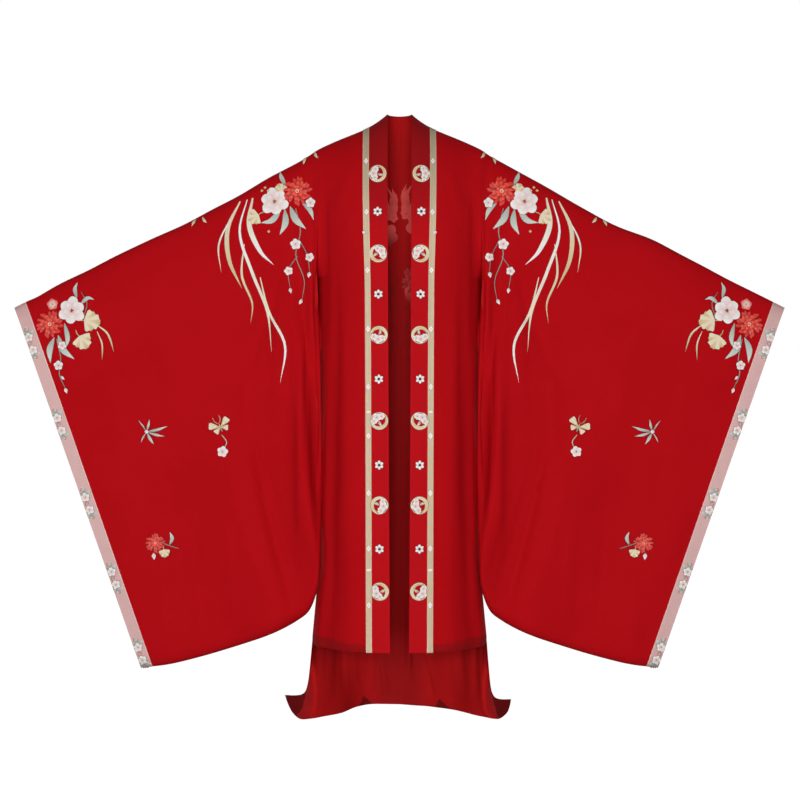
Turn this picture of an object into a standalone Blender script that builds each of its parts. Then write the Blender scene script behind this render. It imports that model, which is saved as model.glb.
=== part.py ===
"""Wide-sleeved wedding robe, filled out as if worn, with its arms held out and down.

A red open-fronted robe: two fronts, two backs that trail on the floor, two very wide sleeves of a front
and a back leaf, a collar band that runs from hem to hem round the neck, a braid on the band and a border
band at each cuff.
Metres. X runs across, the robe faces -Y, Z is up. The origin lies between the two shoulders, where the
neck side of the shoulder line is.
"""

import math
from collections import namedtuple

import bmesh
import bpy
from mathutils import Vector

# Driving dimensions
WALL = 0.0012
BRAID_WALL = 0.0010
FLAT_SEAM = 0.00022
TURNED_SEAM = 0.00040
FOLD_SEAM = 0.00075
LAID_GAP = 0.0003

NECK_OUT = 0.092
NECK_DEEP = 0.072
NAPE_OUT = 0.030
NAPE_DEEP = 0.052
NAPE_TOP = 0.0345
NAPE_RISE = 0.0035
NECK_SEAM_TOP = -0.006
NECK_SEAM_BACK = -0.020
COLLAR_SAG = 0.004
COLLAR_SAG_ENDS = 0.12
COLLAR_SETTLES = 0.22
BRAID_SHARE = 0.25

ARMHOLE_OUT = 0.2065
ARMHOLE_HALF = 0.052
ARMPIT = 0.385
FRONT_HEM = 1.314
FLOOR = 1.5045
CHEST_ROUND = 0.26
BACK_ROUND = 0.20

CUFF_OUT = 0.982
CUFF_SHARE = 0.0285
SLEEVE_INNER = 0.2010
SLEEVE_FORWARD = 0.035
CUFF_FORWARD = 0.010
FORWARD_STARTS = 0.20
FORWARD_GROWS = 0.30
FORWARD_TURNS = 0.25
FORWARD_TURNED = 0.50
ARM_HALF_SHOULDER = 0.046
ARM_HALF_WRIST = 0.034
ARM_DROP = 0.13
SLEEVE_TAPER = 0.52
TAPER_LENGTH = 0.40
EDGE_ROUND = 0.035
ARMPIT_SPREAD = 0.0016
SPREAD_STARTS = 0.45
SPREAD_GROWS = 0.50

# How finely the sheets are divided
BAND_MIDDLE = 0.375
ARMHOLE_ROWS = 12
BODY_ROWS = 12
TRAIN_ROWS = 9
FRONT_COLUMNS = 11
NECK_COLUMNS = 6
SHOULDER_COLUMNS = 12
SLEEVE_RINGS = 24
NECK_SHARE = 0.42
PROBE = 0.002
WELD = 0.00001

# The shoulder line from the neck to the cuff: distance from the middle, and how far it has dropped
Ridge = namedtuple("Ridge", "out down")
RIDGE = [
    Ridge(0.0920, 0.006),
    Ridge(0.1925, 0.0485),
    Ridge(0.2600, 0.088),
    Ridge(0.3900, 0.162),
    Ridge(0.5200, 0.232),
    Ridge(0.6600, 0.296),
    Ridge(0.8200, 0.376),
    Ridge(0.9820, 0.459),
]

# The body at several heights: half its width, and how far the front and the back stand off the middle
Body = namedtuple("Body", "down half_width front back")
BODY = [
    Body(0.000, 0.2065, 0.122, 0.100),
    Body(0.200, 0.2065, 0.126, 0.115),
    Body(0.385, 0.2065, 0.130, 0.124),
    Body(0.600, 0.2037, 0.138, 0.136),
    Body(0.900, 0.2037, 0.150, 0.160),
    Body(1.100, 0.2055, 0.158, 0.180),
    Body(1.314, 0.2232, 0.166, 0.200),
]

# The two edges of the collar band down the front
Band = namedtuple("Band", "down inner outer")
BAND = [
    Band(-0.040, 0.0300, 0.0920),
    Band(0.150, 0.0297, 0.0905),
    Band(0.430, 0.0284, 0.0855),
    Band(1.314, 0.0235, 0.0820),
]

# The sleeve's lower edge from the armpit down beside the body, round its corner and out to the cuff
SleeveEdge = namedtuple("SleeveEdge", "share out down")
SLEEVE_EDGE = [
    SleeveEdge(0.00, 0.2065, 0.385),
    SleeveEdge(0.05, 0.2062, 0.480),
    SleeveEdge(0.12, 0.2025, 0.640),
    SleeveEdge(0.22, 0.2015, 0.860),
    SleeveEdge(0.31, 0.2025, 1.040),
    SleeveEdge(0.36, 0.2050, 1.120),
    SleeveEdge(0.41, 0.2105, 1.175),
    SleeveEdge(0.47, 0.2290, 1.228),
    SleeveEdge(0.53, 0.2590, 1.254),
    SleeveEdge(0.61, 0.3080, 1.280),
    SleeveEdge(0.70, 0.3720, 1.3055),
    SleeveEdge(0.80, 0.4550, 1.333),
    SleeveEdge(0.90, 0.5540, 1.358),
    SleeveEdge(0.95, 0.6060, 1.3685),
    SleeveEdge(1.00, 0.6590, 1.374),
]

# Where each ring of the sleeve starts on the shoulder line
SleeveTop = namedtuple("SleeveTop", "share out")
SLEEVE_TOP = [
    SleeveTop(0.00, ARMHOLE_OUT),
    SleeveTop(0.18, 0.2600),
    SleeveTop(0.36, 0.3400),
    SleeveTop(0.60, 0.5700),
    SleeveTop(0.80, 0.7780),
    SleeveTop(1.00, CUFF_OUT),
]

# The trailing hem, from the middle of the back to the corner that has swung out and lifts off the floor
Hem = namedtuple("Hem", "share out back lift")
HEM = {
    1: [
        Hem(0.00, 0.0000, 0.190, 0.000),
        Hem(0.17, 0.0440, 0.173, 0.000),
        Hem(0.34, 0.0880, 0.152, 0.000),
        Hem(0.52, 0.1400, 0.112, 0.000),
        Hem(0.70, 0.1980, 0.036, 0.000),
        Hem(0.80, 0.2300, 0.002, 0.000),
        Hem(0.86, 0.2520, -0.013, 0.000),
        Hem(0.92, 0.2770, 0.045, 0.005),
        Hem(0.96, 0.2885, 0.105, 0.012),
        Hem(1.00, 0.2945, 0.150, 0.020),
    ],
    -1: [
        Hem(0.00, 0.0000, 0.190, 0.000),
        Hem(0.17, 0.0500, 0.194, 0.000),
        Hem(0.30, 0.0860, 0.185, 0.000),
        Hem(0.42, 0.1180, 0.146, 0.000),
        Hem(0.54, 0.1500, 0.068, 0.000),
        Hem(0.68, 0.1980, 0.018, 0.000),
        Hem(0.78, 0.2280, -0.011, 0.000),
        Hem(0.86, 0.2520, -0.014, 0.000),
        Hem(0.92, 0.2760, 0.045, 0.006),
        Hem(0.96, 0.2920, 0.110, 0.016),
        Hem(1.00, 0.3040, 0.172, 0.027),
    ],
}

# Soft folds: where across the sheet, how wide, how far out of it, and where they start and are full
Fold = namedtuple("Fold", "across width out starts full")
FRONT_FOLDS = [
    Fold(0.26, 0.26, 0.0060, 0.25, 1.10),
    Fold(0.58, 0.17, -0.0065, 0.30, 0.95),
    Fold(0.80, 0.12, 0.0050, 0.35, 1.00),
]
BACK_FOLDS = [
    Fold(0.13, 0.11, -0.0110, 0.30, 1.30),
    Fold(0.26, 0.11, 0.0110, 0.35, 1.20),
    Fold(0.41, 0.10, -0.0120, 0.40, 1.30),
    Fold(0.55, 0.10, 0.0110, 0.35, 1.25),
    Fold(0.70, 0.09, -0.0080, 0.40, 1.20),
    Fold(0.84, 0.08, 0.0060, 0.45, 1.20),
]
SLEEVE_FOLDS = [
    Fold(0.13, 0.07, -0.0090, 0.15, 0.60),
    Fold(0.24, 0.08, 0.0100, 0.12, 0.55),
    Fold(0.36, 0.09, -0.0110, 0.15, 0.70),
    Fold(0.50, 0.10, 0.0090, 0.25, 0.85),
    Fold(0.64, 0.10, -0.0090, 0.20, 0.80),
    Fold(0.78, 0.09, 0.0080, 0.25, 0.85),
    Fold(0.91, 0.08, -0.0060, 0.30, 0.90),
]
FOLD_SHIFT = 0.012

# How square the body's section is and how the armhole and the shoulder are rounded
SECTION_ACROSS = 2.2
SECTION_DEEP = 1 / 1.7
ARMHOLE_SQUARE = 0.8
DROP_ROUND = 0.62
SIDE_FINER = 0.6
# Above the armpit: where the open section starts to close, how it blends, and how the swell fades
CLOSING = 0.15
FRONT_FLAT = 1.8
FRONT_WAVED = 0.6
BACK_FLAT = 2.4
BACK_WAVED = 0.5
SWELL_RISE = 2.5
SWELL_FADES = 0.2
SWELL_EDGE = 6
# How the train spreads, flicks out at its corner, sweeps back and comes down, and how its folds calm
TRAIN_SPREAD = 0.35
TRAIN_FLICK = 8
TRAIN_BACK = 1.25
TRAIN_DOWN = 1.7
TRAIN_CALM = 0.6
# Shares of a sheet over which a fold fades at its edges, and a sleeve turns from its armhole's form
EDGE_CALM = 0.10
SEAM_CALM = 0.12
ARMHOLE_BLEND = 0.12
ARMHOLE_NEAR = 0.05
SLEEVE_CALM_STARTS = 0.04
SLEEVE_CALM = 0.06

Cloth = namedtuple("Cloth", "name red green blue roughness")
ROBE_RED = Cloth("robe_red_satin", 0.400, 0.004, 0.007, 0.45)
BAND_RED = Cloth("band_red_satin", 0.460, 0.006, 0.010, 0.42)
GOLD_BRAID = Cloth("gold_braid", 0.560, 0.450, 0.260, 0.50)
CUFF_PINK = Cloth("cuff_pink_brocade", 0.600, 0.340, 0.330, 0.50)


def mix(start, end, share):
    """Value between two values."""
    return start + (end - start) * share


def ease(share):
    """Soft step from 0 to 1."""
    share = min(max(share, 0.0), 1.0)
    return share * share * (3.0 - 2.0 * share)


def bump(offset, width):
    """Soft hump, 1 at its middle and 0 from its width outwards."""
    share = min(abs(offset) / width, 1.0)
    return 0.5 * (1.0 + math.cos(math.pi * share))


def quarter(share):
    """Quarter of a circle, rising steeply from 0 and flat at 1."""
    share = min(max(share, 0.0), 1.0)
    return math.sqrt(1.0 - (1.0 - share) ** 2)


def read(table, place):
    """The other columns of a table at a place in its first column, on a smooth curve through its rows."""
    last = len(table) - 1
    row = 0
    while row < last - 1 and place > table[row + 1][0]:
        row += 1
    before, start, end, after = (table[min(max(row + step, 0), last)] for step in (-1, 0, 1, 2))
    span = end[0] - start[0]
    share = min(max((place - start[0]) / span, 0.0), 1.0)
    values = []
    for column in range(1, len(start)):
        slope_in = (end[column] - before[column]) / (end[0] - before[0]) * span
        slope_out = (after[column] - start[column]) / (after[0] - start[0]) * span
        value = start[column] * (2 * share**3 - 3 * share**2 + 1)
        value += end[column] * (3 * share**2 - 2 * share**3)
        value += slope_in * (share**3 - 2 * share**2 + share)
        value += slope_out * (share**3 - share**2)
        values.append(value)
    return values


def folds_out(folds, across, down, side):
    """How far all the folds of a sheet push it out at one place."""
    return sum(
        fold.out
        * bump(across - fold.across - FOLD_SHIFT * side, fold.width)
        * ease((down - fold.starts) / (fold.full - fold.starts))
        for fold in folds
    )


def shoulder_height(out):
    """Height of the shoulder line at a distance from the middle."""
    return -read(RIDGE, out)[0]


def section(share):
    """Depth of the body's rounded section, as a share, at a share of its half width."""
    return max(1.0 - min(share, 1.0) ** SECTION_ACROSS, 0.0) ** SECTION_DEEP


def armhole_half(turn):
    """Half the depth of the armhole at a turn of 0 at the shoulder to pi at the armpit."""
    return ARMHOLE_HALF * max(math.sin(turn), 0.0) ** ARMHOLE_SQUARE


def arm_swell(row, share, opened):
    """How far the sleeve's fullness pushes the body out beside the armhole, fading softly inwards."""
    turn = math.pi * min(row, 1.0)
    fading = 1.0 - ease((fall(row) - SWELL_FADES) / (1.0 - SWELL_FADES))
    soft = ARMHOLE_HALF * quarter(SWELL_RISE * fall(row)) * fading
    return mix(soft, armhole_half(turn), share**SWELL_EDGE) * (1.0 - opened)


def rounding(drop, reach, power):
    """How much of its full depth the body has reached at a drop below its top edge."""
    return quarter(drop / reach) ** (2.0 * power)


def fall(row):
    """Share of the way from the top edge to the armpit at a row from 0 to 1, finer at both ends."""
    return 0.5 * (1.0 - math.cos(math.pi * min(row, 1.0)))


def spread(share):
    """Share of the body's half width at a share of its columns, finer towards the side."""
    return mix(share, math.sin(0.5 * math.pi * share), SIDE_FINER)


def open_section(share, flat, waved):
    """Depth of the body's section where it opens into the sleeve, as a share, at a share of its width."""
    return mix(1.0 - share**flat, 0.5 + 0.5 * math.cos(math.pi * share), waved)


def height_at(row, top):
    """Height at a row: 0 to 1 from the top edge to the armpit, 1 to 2 from there to the front hem."""
    if row <= 1.0:
        return mix(top, -ARMPIT, fall(row))
    return mix(-ARMPIT, -FRONT_HEM, min(row, 2.0) - 1.0)


def front_point(side, share, row):
    """Point of a front: share runs from the collar's seam to the side, row down from the shoulder."""
    top_out = mix(NECK_OUT, ARMHOLE_OUT, share)
    top = shoulder_height(top_out)
    height = height_at(row, top)
    drop = top - height
    half_width, front, _ = read(BODY, -height)
    seam_out = read(BAND, -height)[1]
    low_out = mix(seam_out, half_width, spread(share))
    out = mix(top_out, low_out, ease(row))
    seam_depth = section(seam_out / half_width)
    depth = front * seam_depth * rounding(drop, CHEST_ROUND, DROP_ROUND)
    closed = section(low_out / half_width) / seam_depth
    opened = open_section(share, FRONT_FLAT, FRONT_WAVED)
    shape = mix(opened, closed, ease((fall(row) - CLOSING) / (1.0 - CLOSING)))
    arm = arm_swell(row, share, opened)
    fold = folds_out(FRONT_FOLDS, share, -height, side)
    fold *= ease((1.0 - share) / EDGE_CALM) * ease(share / SEAM_CALM)
    return Vector((side * out, -(depth * shape + arm + fold), height))


def neck_seam(turn):
    """Point of the back neck seam, at a turn of 0 at the shoulder to 1 at the middle of the back."""
    angle = 0.5 * math.pi * turn
    lift = (NECK_SEAM_TOP - NECK_SEAM_BACK) * math.cos(angle) ** 2
    return Vector((NECK_OUT * math.cos(angle), NECK_DEEP * math.sin(angle), NECK_SEAM_BACK + lift))


def back_top(share):
    """Top edge of a back: the neck seam up to NECK_SHARE of its columns, then the shoulder line."""
    if share <= NECK_SHARE:
        return neck_seam(1.0 - share / NECK_SHARE)
    out = mix(NECK_OUT, ARMHOLE_OUT, (share - NECK_SHARE) / (1.0 - NECK_SHARE))
    return Vector((out, 0.0, shoulder_height(out)))


def back_point(side, share, row):
    """Point of a back: share runs from the middle to the side, row down; from 2 to 3 it trails."""
    top = back_top(share)
    height = height_at(row, top.z)
    half_width, _, back = read(BODY, -height)
    across = spread(share)
    out = mix(top.x, half_width * across, ease(row))
    power = mix(1.0, DROP_ROUND, min(share / NECK_SHARE, 1.0))
    reached = rounding(top.z - height, BACK_ROUND, power)
    opened = open_section(across, BACK_FLAT, BACK_WAVED)
    shape = mix(opened, section(across), ease((fall(row) - CLOSING) / (1.0 - CLOSING)))
    arm = arm_swell(row, share, opened)
    depth = mix(top.y, back * shape, reached) + arm
    fold = folds_out(BACK_FOLDS, share, -height, side) * ease((1.0 - share) / EDGE_CALM)
    point = Vector((side * out, depth + fold, height))
    if row > 2.0:
        swept = row - 2.0
        hem_out, hem_back, lift = read(HEM[side], share)
        outwards = mix(swept**TRAIN_FLICK, swept, TRAIN_SPREAD)
        point.x = side * mix(out, hem_out, outwards)
        point.y = mix(depth, hem_back, swept**TRAIN_BACK) + fold * (1.0 - TRAIN_CALM * swept)
        point.z = mix(-FRONT_HEM, lift - FLOOR, 1.0 - (1.0 - swept) ** TRAIN_DOWN)
    return point


def sleeve_point(side, share, around):
    """Point of a sleeve: share runs from the armhole to the cuff, around from 0 at the top of the arm
    down the front to 0.5 at the lower edge, and up the back to 1."""
    in_front = around <= 0.5
    way = 0.5 * (1.0 - math.cos(2.0 * math.pi * around))
    top_out = read(SLEEVE_TOP, share)[0]
    edge_out, edge_down = read(SLEEVE_EDGE, share)
    top = Vector((top_out, 0.0, shoulder_height(top_out)))
    bottom = Vector((edge_out, 0.0, -edge_down))
    point = top.lerp(bottom, way)
    below = way * (top - bottom).length
    above = (1.0 - way) * (top - bottom).length
    inside = math.hypot(max(point.x - SLEEVE_INNER, 0.0), max(point.z + ARMPIT, 0.0))
    half = mix(ARM_HALF_SHOULDER, ARM_HALF_WRIST, share) * quarter(below / ARM_DROP)
    half *= mix(1.0, SLEEVE_TAPER, ease((below - ARM_DROP) / TAPER_LENGTH))
    half *= quarter(above / EDGE_ROUND) * quarter(inside / EDGE_ROUND)
    armhole_turn = 2.0 * math.pi * (around if in_front else 1.0 - around)
    half = mix(armhole_half(armhole_turn), half, ease(share / ARMHOLE_BLEND))
    turned = ease((share - FORWARD_TURNS) / FORWARD_TURNED)
    forward = mix(SLEEVE_FORWARD, CUFF_FORWARD, turned) * ease(share / SLEEVE_CALM)
    forward *= ease((below - FORWARD_STARTS) / FORWARD_GROWS)
    fold = folds_out(SLEEVE_FOLDS, share, way, 0) * ease((share - SLEEVE_CALM_STARTS) / SLEEVE_CALM)
    seam = TURNED_SEAM + ARMPIT_SPREAD * ease((way - SPREAD_STARTS) / SPREAD_GROWS)
    point.x = side * (point.x + seam * max(1.0 - share / ARMHOLE_NEAR, 0.0))
    point.y = (-half if in_front else half) - forward + fold
    return point


def collar_point(side, across, along):
    """Point of the collar band: across runs from its free edge to its seam, along from 2 at the hem up
    the front to 0 at the shoulder, and on to -1 at the middle of the back."""
    if along < 0.0:
        angle = -0.5 * math.pi * along
        outer = neck_seam(-along)
        nape_height = NAPE_TOP + NAPE_RISE * math.sin(angle)
        inner = Vector((NAPE_OUT * math.cos(angle), NAPE_DEEP * math.sin(angle), nape_height))
        sag = COLLAR_SAG * math.cos(angle)
    else:
        outer = front_point(1, 0.0, along)
        drop = shoulder_height(NECK_OUT) - outer.z
        height = outer.z + (NAPE_TOP - NECK_SEAM_TOP) * (1.0 - ease(drop / COLLAR_SETTLES))
        half_width, front, _ = read(BODY, -height)
        inner_out = read(BAND, -height)[0]
        depth = front * section(inner_out / half_width) * rounding(drop, CHEST_ROUND, DROP_ROUND)
        inner = Vector((inner_out, -depth, height))
        sag = COLLAR_SAG * (1.0 - ease(drop / COLLAR_SAG_ENDS))
    point = inner.lerp(outer, across)
    point.x *= side
    point.z -= sag * 4.0 * across * (1.0 - across)
    return point


def moved_out(surface, first, second, distance):
    """Point of a sheet moved along its normal by a distance."""
    along_first = surface(first + PROBE, second) - surface(first - PROBE, second)
    along_second = surface(first, second + PROBE) - surface(first, second - PROBE)
    normal = along_first.cross(along_second).normalized()
    return surface(first, second) + normal * distance


def braid_point(side, across, along):
    """Point of the braid that lies on the seam side of the collar band."""
    raise_by = side * (0.5 * WALL + LAID_GAP + 0.5 * BRAID_WALL)
    share = mix(1.0 - BRAID_SHARE, 1.0, across)

    def band(first, second):
        return collar_point(side, first, second)

    return moved_out(band, min(share, 1.0 - PROBE), min(max(along, PROBE - 1.0), 2.0 - PROBE), raise_by)


def cloth_material(cloth):
    """Material of one kind of cloth."""
    material = bpy.data.materials.new(cloth.name)
    material.use_nodes = True
    shader = material.node_tree.nodes["Principled BSDF"]
    shader.inputs["Base Color"].default_value = (cloth.red, cloth.green, cloth.blue, 1.0)
    shader.inputs["Roughness"].default_value = cloth.roughness
    shader.inputs["Metallic"].default_value = 0.0
    return material


def sheet(name, surface, firsts, seconds, gaps, wall, material, collection):
    """Sheet through a surface at the given places, drawn back at its four edges and given its wall.

    gaps holds how far the sheet is drawn back at its first column, last column, first row and last row,
    and None for two edges that close on each other."""
    bm = bmesh.new()
    bmesh.ops.create_grid(bm, x_segments=len(firsts) - 1, y_segments=len(seconds) - 1, size=0.5)
    last_column = len(firsts) - 1
    last_row = len(seconds) - 1
    for vert in bm.verts:
        column = round((vert.co.x + 0.5) * last_column)
        row = round((vert.co.y + 0.5) * last_row)
        point = surface(firsts[column], seconds[row])
        edges = (
            (column == 0, gaps[0], 1, 0),
            (column == last_column, gaps[1], -1, 0),
            (row == 0, gaps[2], 0, 1),
            (row == last_row, gaps[3], 0, -1),
        )
        vert.co = point
        for on_edge, gap, column_step, row_step in edges:
            if on_edge and gap:
                inside = surface(firsts[column + column_step], seconds[row + row_step])
                vert.co += (inside - point).normalized() * gap
    if gaps[2] is None:
        bmesh.ops.remove_doubles(bm, verts=bm.verts, dist=WELD)
    bmesh.ops.recalc_face_normals(bm, faces=bm.faces)
    mesh = bpy.data.meshes.new(name)
    bm.to_mesh(mesh)
    bm.free()
    mesh.shade_smooth()
    mesh.materials.append(material)
    piece = bpy.data.objects.new(name, mesh)
    collection.objects.link(piece)
    wall_modifier = piece.modifiers.new("wall", "SOLIDIFY")
    wall_modifier.thickness = wall
    wall_modifier.offset = 0.0
    return piece


def even(start, end, steps):
    """Places spaced evenly from start to end."""
    return [mix(start, end, step / steps) for step in range(steps + 1)]


def body_rows(train):
    """Rows of a front, or of a back with its train."""
    rows = even(0.0, 1.0, ARMHOLE_ROWS) + even(1.0, 2.0, BODY_ROWS)[1:]
    return rows + even(2.0, 3.0, TRAIN_ROWS)[1:] if train else rows


def back_columns():
    """Columns of a back, with one on the corner between the neck seam and the shoulder line."""
    return even(0.0, NECK_SHARE, NECK_COLUMNS) + even(NECK_SHARE, 1.0, SHOULDER_COLUMNS)[1:]


def collar_stations():
    """Places along the band: on the rows of the front, then on the neck columns of the back."""
    return body_rows(False)[::-1] + even(0.0, -1.0, NECK_COLUMNS)[1:]


def make_side(side, word, cloths, collection):
    """All the pieces of one side of the robe."""
    robe, band, braid, cuff = cloths

    def front(share, row):
        return front_point(side, share, row)

    def back(share, row):
        return back_point(side, share, row)

    def sleeve(share, around):
        return sleeve_point(side, share, around)

    def collar(across, along):
        return collar_point(side, across, along)

    def laid_braid(across, along):
        return braid_point(side, across, along)

    down_front = even(0.0, 0.5, ARMHOLE_ROWS)
    up_back = even(0.5, 1.0, ARMHOLE_ROWS)
    cuff_start = 1.0 - CUFF_SHARE
    sleeve_rings = even(0.0, cuff_start, SLEEVE_RINGS)
    leaf_gaps = (0.0, FLAT_SEAM, FOLD_SEAM, FOLD_SEAM)
    sheet("front_" + word, front, even(0.0, 1.0, FRONT_COLUMNS), body_rows(False),
          (FLAT_SEAM, TURNED_SEAM, TURNED_SEAM, 0.0), WALL, robe, collection)
    sheet("back_" + word, back, back_columns(), body_rows(True),
          (TURNED_SEAM, TURNED_SEAM, TURNED_SEAM, 0.0), WALL, robe, collection)
    sheet("sleeve_front_" + word, sleeve, sleeve_rings, down_front, leaf_gaps, WALL, robe, collection)
    sheet("sleeve_back_" + word, sleeve, sleeve_rings, up_back, leaf_gaps, WALL, robe, collection)
    sheet("cuff_" + word, sleeve, even(cuff_start, 1.0, 1), down_front + up_back[1:],
          (FLAT_SEAM, 0.0, None, None), WALL, cuff, collection)
    sheet("collar_" + word, collar, [0.0, BAND_MIDDLE, 1.0 - BRAID_SHARE, 1.0], collar_stations(),
          (0.0, FLAT_SEAM, 0.0, FLAT_SEAM), WALL, band, collection)
    sheet("braid_" + word, laid_braid, [0.0, 1.0], collar_stations(),
          (0.0, TURNED_SEAM, 0.0, FLAT_SEAM), BRAID_WALL, braid, collection)


def make_robe():
    """The whole robe, in a collection of its own."""
    for old in list(bpy.data.objects):
        bpy.data.objects.remove(old, do_unlink=True)
    collection = bpy.data.collections.new("wide_sleeved_wedding_robe")
    bpy.context.scene.collection.children.link(collection)
    cloths = [cloth_material(cloth) for cloth in (ROBE_RED, BAND_RED, GOLD_BRAID, CUFF_PINK)]
    make_side(1, "left", cloths, collection)
    make_side(-1, "right", cloths, collection)


make_robe()
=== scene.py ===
"""Looks of a wide-sleeved wedding robe, worn open and filled out, with its back trailing on the floor.

The red satin panels, the collar band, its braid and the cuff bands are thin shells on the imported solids, with
the soft creases of the real cloth. Flowers, leaves and grasses are raised silk stitching laid on the shells.
Metres. X runs across, the robe faces -Y, Z is up, and Z = 0 is where the shoulder line meets the neck.
"""

import logging
import math
from collections.abc import Callable, Sequence
from dataclasses import dataclass, field
from enum import Enum
from typing import Any, NamedTuple

import bmesh
import bpy
import numpy as np
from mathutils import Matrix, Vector
from mathutils.bvhtree import BVHTree


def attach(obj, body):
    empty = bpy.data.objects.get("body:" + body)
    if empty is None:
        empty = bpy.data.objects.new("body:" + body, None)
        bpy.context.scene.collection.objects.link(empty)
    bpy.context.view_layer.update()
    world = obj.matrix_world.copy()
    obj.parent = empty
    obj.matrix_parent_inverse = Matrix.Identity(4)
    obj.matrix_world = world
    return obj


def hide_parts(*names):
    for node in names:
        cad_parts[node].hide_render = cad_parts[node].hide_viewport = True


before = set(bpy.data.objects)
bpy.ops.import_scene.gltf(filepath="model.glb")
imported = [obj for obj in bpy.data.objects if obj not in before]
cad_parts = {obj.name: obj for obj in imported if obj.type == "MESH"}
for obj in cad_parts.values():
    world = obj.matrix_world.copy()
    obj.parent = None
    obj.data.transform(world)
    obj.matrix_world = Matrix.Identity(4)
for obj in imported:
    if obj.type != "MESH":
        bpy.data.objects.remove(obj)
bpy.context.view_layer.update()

LOG = logging.getLogger("wedding_robe")
BODY = "root"
Array = np.ndarray
Triple = tuple[float, float, float]
Colour = Triple
Edges = tuple[float, float, float, float]
Spot = tuple[float, float]
Line = Sequence[Spot]
Run = tuple[float, float, int]
Runs = tuple[Run, ...]
Piece = bpy.types.Object
Paint = bpy.types.Material
Socket = bpy.types.NodeSocket
Values = dict[Any, Any] | None


class Side(Enum):
    """Side of the robe, as its wearer has it, and the sign of its X."""

    LEFT = 1
    RIGHT = -1

    @property
    def word(self) -> str:
        """The side's word in the names of pieces."""
        return self.name.lower()


class Facing(Enum):
    """Which way the cloth that carries some stitching looks, and the Y from which it is dropped there."""

    FRONT = -1
    BACK = 1
    INSIDE = 0


class Ridge(NamedTuple):
    """Row of the shoulder line, neck to cuff: distance from the middle, and how far it has dropped."""

    out: float
    down: float


class Girth(NamedTuple):
    """The body at one height: half its width, and how far front and back stand off the middle."""

    down: float
    half_width: float
    front: float
    back: float


class Band(NamedTuple):
    """The two edges of the collar band at one height."""

    down: float
    inner: float
    outer: float


class SleeveEdge(NamedTuple):
    """The sleeve's lower edge at a share of its length."""

    share: float
    out: float
    down: float


class SleeveTop(NamedTuple):
    """Where the ring at a share of the sleeve starts on the shoulder line."""

    share: float
    out: float


class Hem(NamedTuple):
    """The trailing hem at a share of the back's width, and how far it lifts off the floor."""

    share: float
    out: float
    back: float
    lift: float


class Fold(NamedTuple):
    """Soft fold: where across the sheet, how wide, how far out, and where it starts and is full."""

    across: float
    width: float
    out: float
    starts: float
    full: float


class Crease(NamedTuple):
    """Soft trough or ridge between two places on a panel, given as distance out and height."""

    start: Spot
    end: Spot
    width: float
    out: float
    bend: float = 0.0


def mix(start: Any, end: Any, share: Any) -> Any:
    """Value between two values."""
    return start + (end - start) * share


def ease(share: Any) -> Any:
    """Soft step from 0 to 1."""
    share = np.clip(share, 0.0, 1.0)
    return share * share * (3.0 - 2.0 * share)


def bump(offset: Any, width: Any) -> Any:
    """Soft hump, 1 at its middle and 0 from its width outwards."""
    return 0.5 * (1.0 + np.cos(np.pi * np.clip(np.abs(offset) / width, 0.0, 1.0)))


def quarter(share: Any) -> Any:
    """Quarter of a circle, rising steeply from 0 and flat at 1."""
    return np.sqrt(1.0 - (1.0 - np.clip(share, 0.0, 1.0)) ** 2)


def read(table: Sequence[NamedTuple], place: Any) -> list[Array]:
    """The other columns of a table at places in its first column, on a smooth curve through its rows.

    Args:
        table: Rows in rising order of their first column.
        place: Values of the first column, in an array of any shape.

    Returns:
        One array for each other column, shaped as place.
    """
    rows = np.array(table, dtype=float)
    place = np.asarray(place, dtype=float)
    last = len(rows) - 1
    row = np.searchsorted(rows[1:last, 0], place, side="left")
    before, start, end, after = (rows[np.clip(row + step, 0, last)] for step in (-1, 0, 1, 2))
    span = (end[..., 0] - start[..., 0])[..., None]
    share = np.clip((place - start[..., 0])[..., None] / span, 0.0, 1.0)
    slope_in = (end - before) / (end[..., :1] - before[..., :1]) * span
    slope_out = (after - start) / (after[..., :1] - start[..., :1]) * span
    value = start * (2 * share**3 - 3 * share**2 + 1) + end * (3 * share**2 - 2 * share**3)
    value += slope_in * (share**3 - 2 * share**2 + share) + slope_out * (share**3 - share**2)
    return [value[..., column] for column in range(1, rows.shape[1])]


def folds_out(folds: Sequence[Fold], across: Any, down: Any, shift: float) -> Any:
    """How far all the folds of a sheet push it out at its places."""
    total = 0.0
    for fold in folds:
        fullness = ease((down - fold.starts) / (fold.full - fold.starts))
        total = total + fold.out * bump(across - fold.across - shift, fold.width) * fullness
    return total


def creases_out(creases: Sequence[Crease], out: Array, height: Array) -> Array:
    """How far the creases push a panel out.

    Args:
        creases: The creases, as listed.
        out: Distance of each point from the robe's middle.
        height: Height of each point.

    Returns:
        Distance along the panel's normal for each point.
    """
    total = np.zeros_like(out)
    for crease in creases:
        run = np.subtract(crease.end, crease.start)
        length = float(np.hypot(*run))
        run = run / length
        along = ((out - crease.start[0]) * run[0] + (height - crease.start[1]) * run[1]) / length
        aside = (out - crease.start[0]) * run[1] - (height - crease.start[1]) * run[0]
        inside = np.clip(along, 0.0, 1.0)
        aside = aside - crease.bend * 4.0 * inside * (1.0 - inside)
        fading = ease(along / 0.35 + 0.15) * ease((1.0 - along) / 0.35 + 0.15)
        total += crease.out * bump(aside, crease.width * (0.6 + 0.6 * inside)) * fading
    return total


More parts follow.
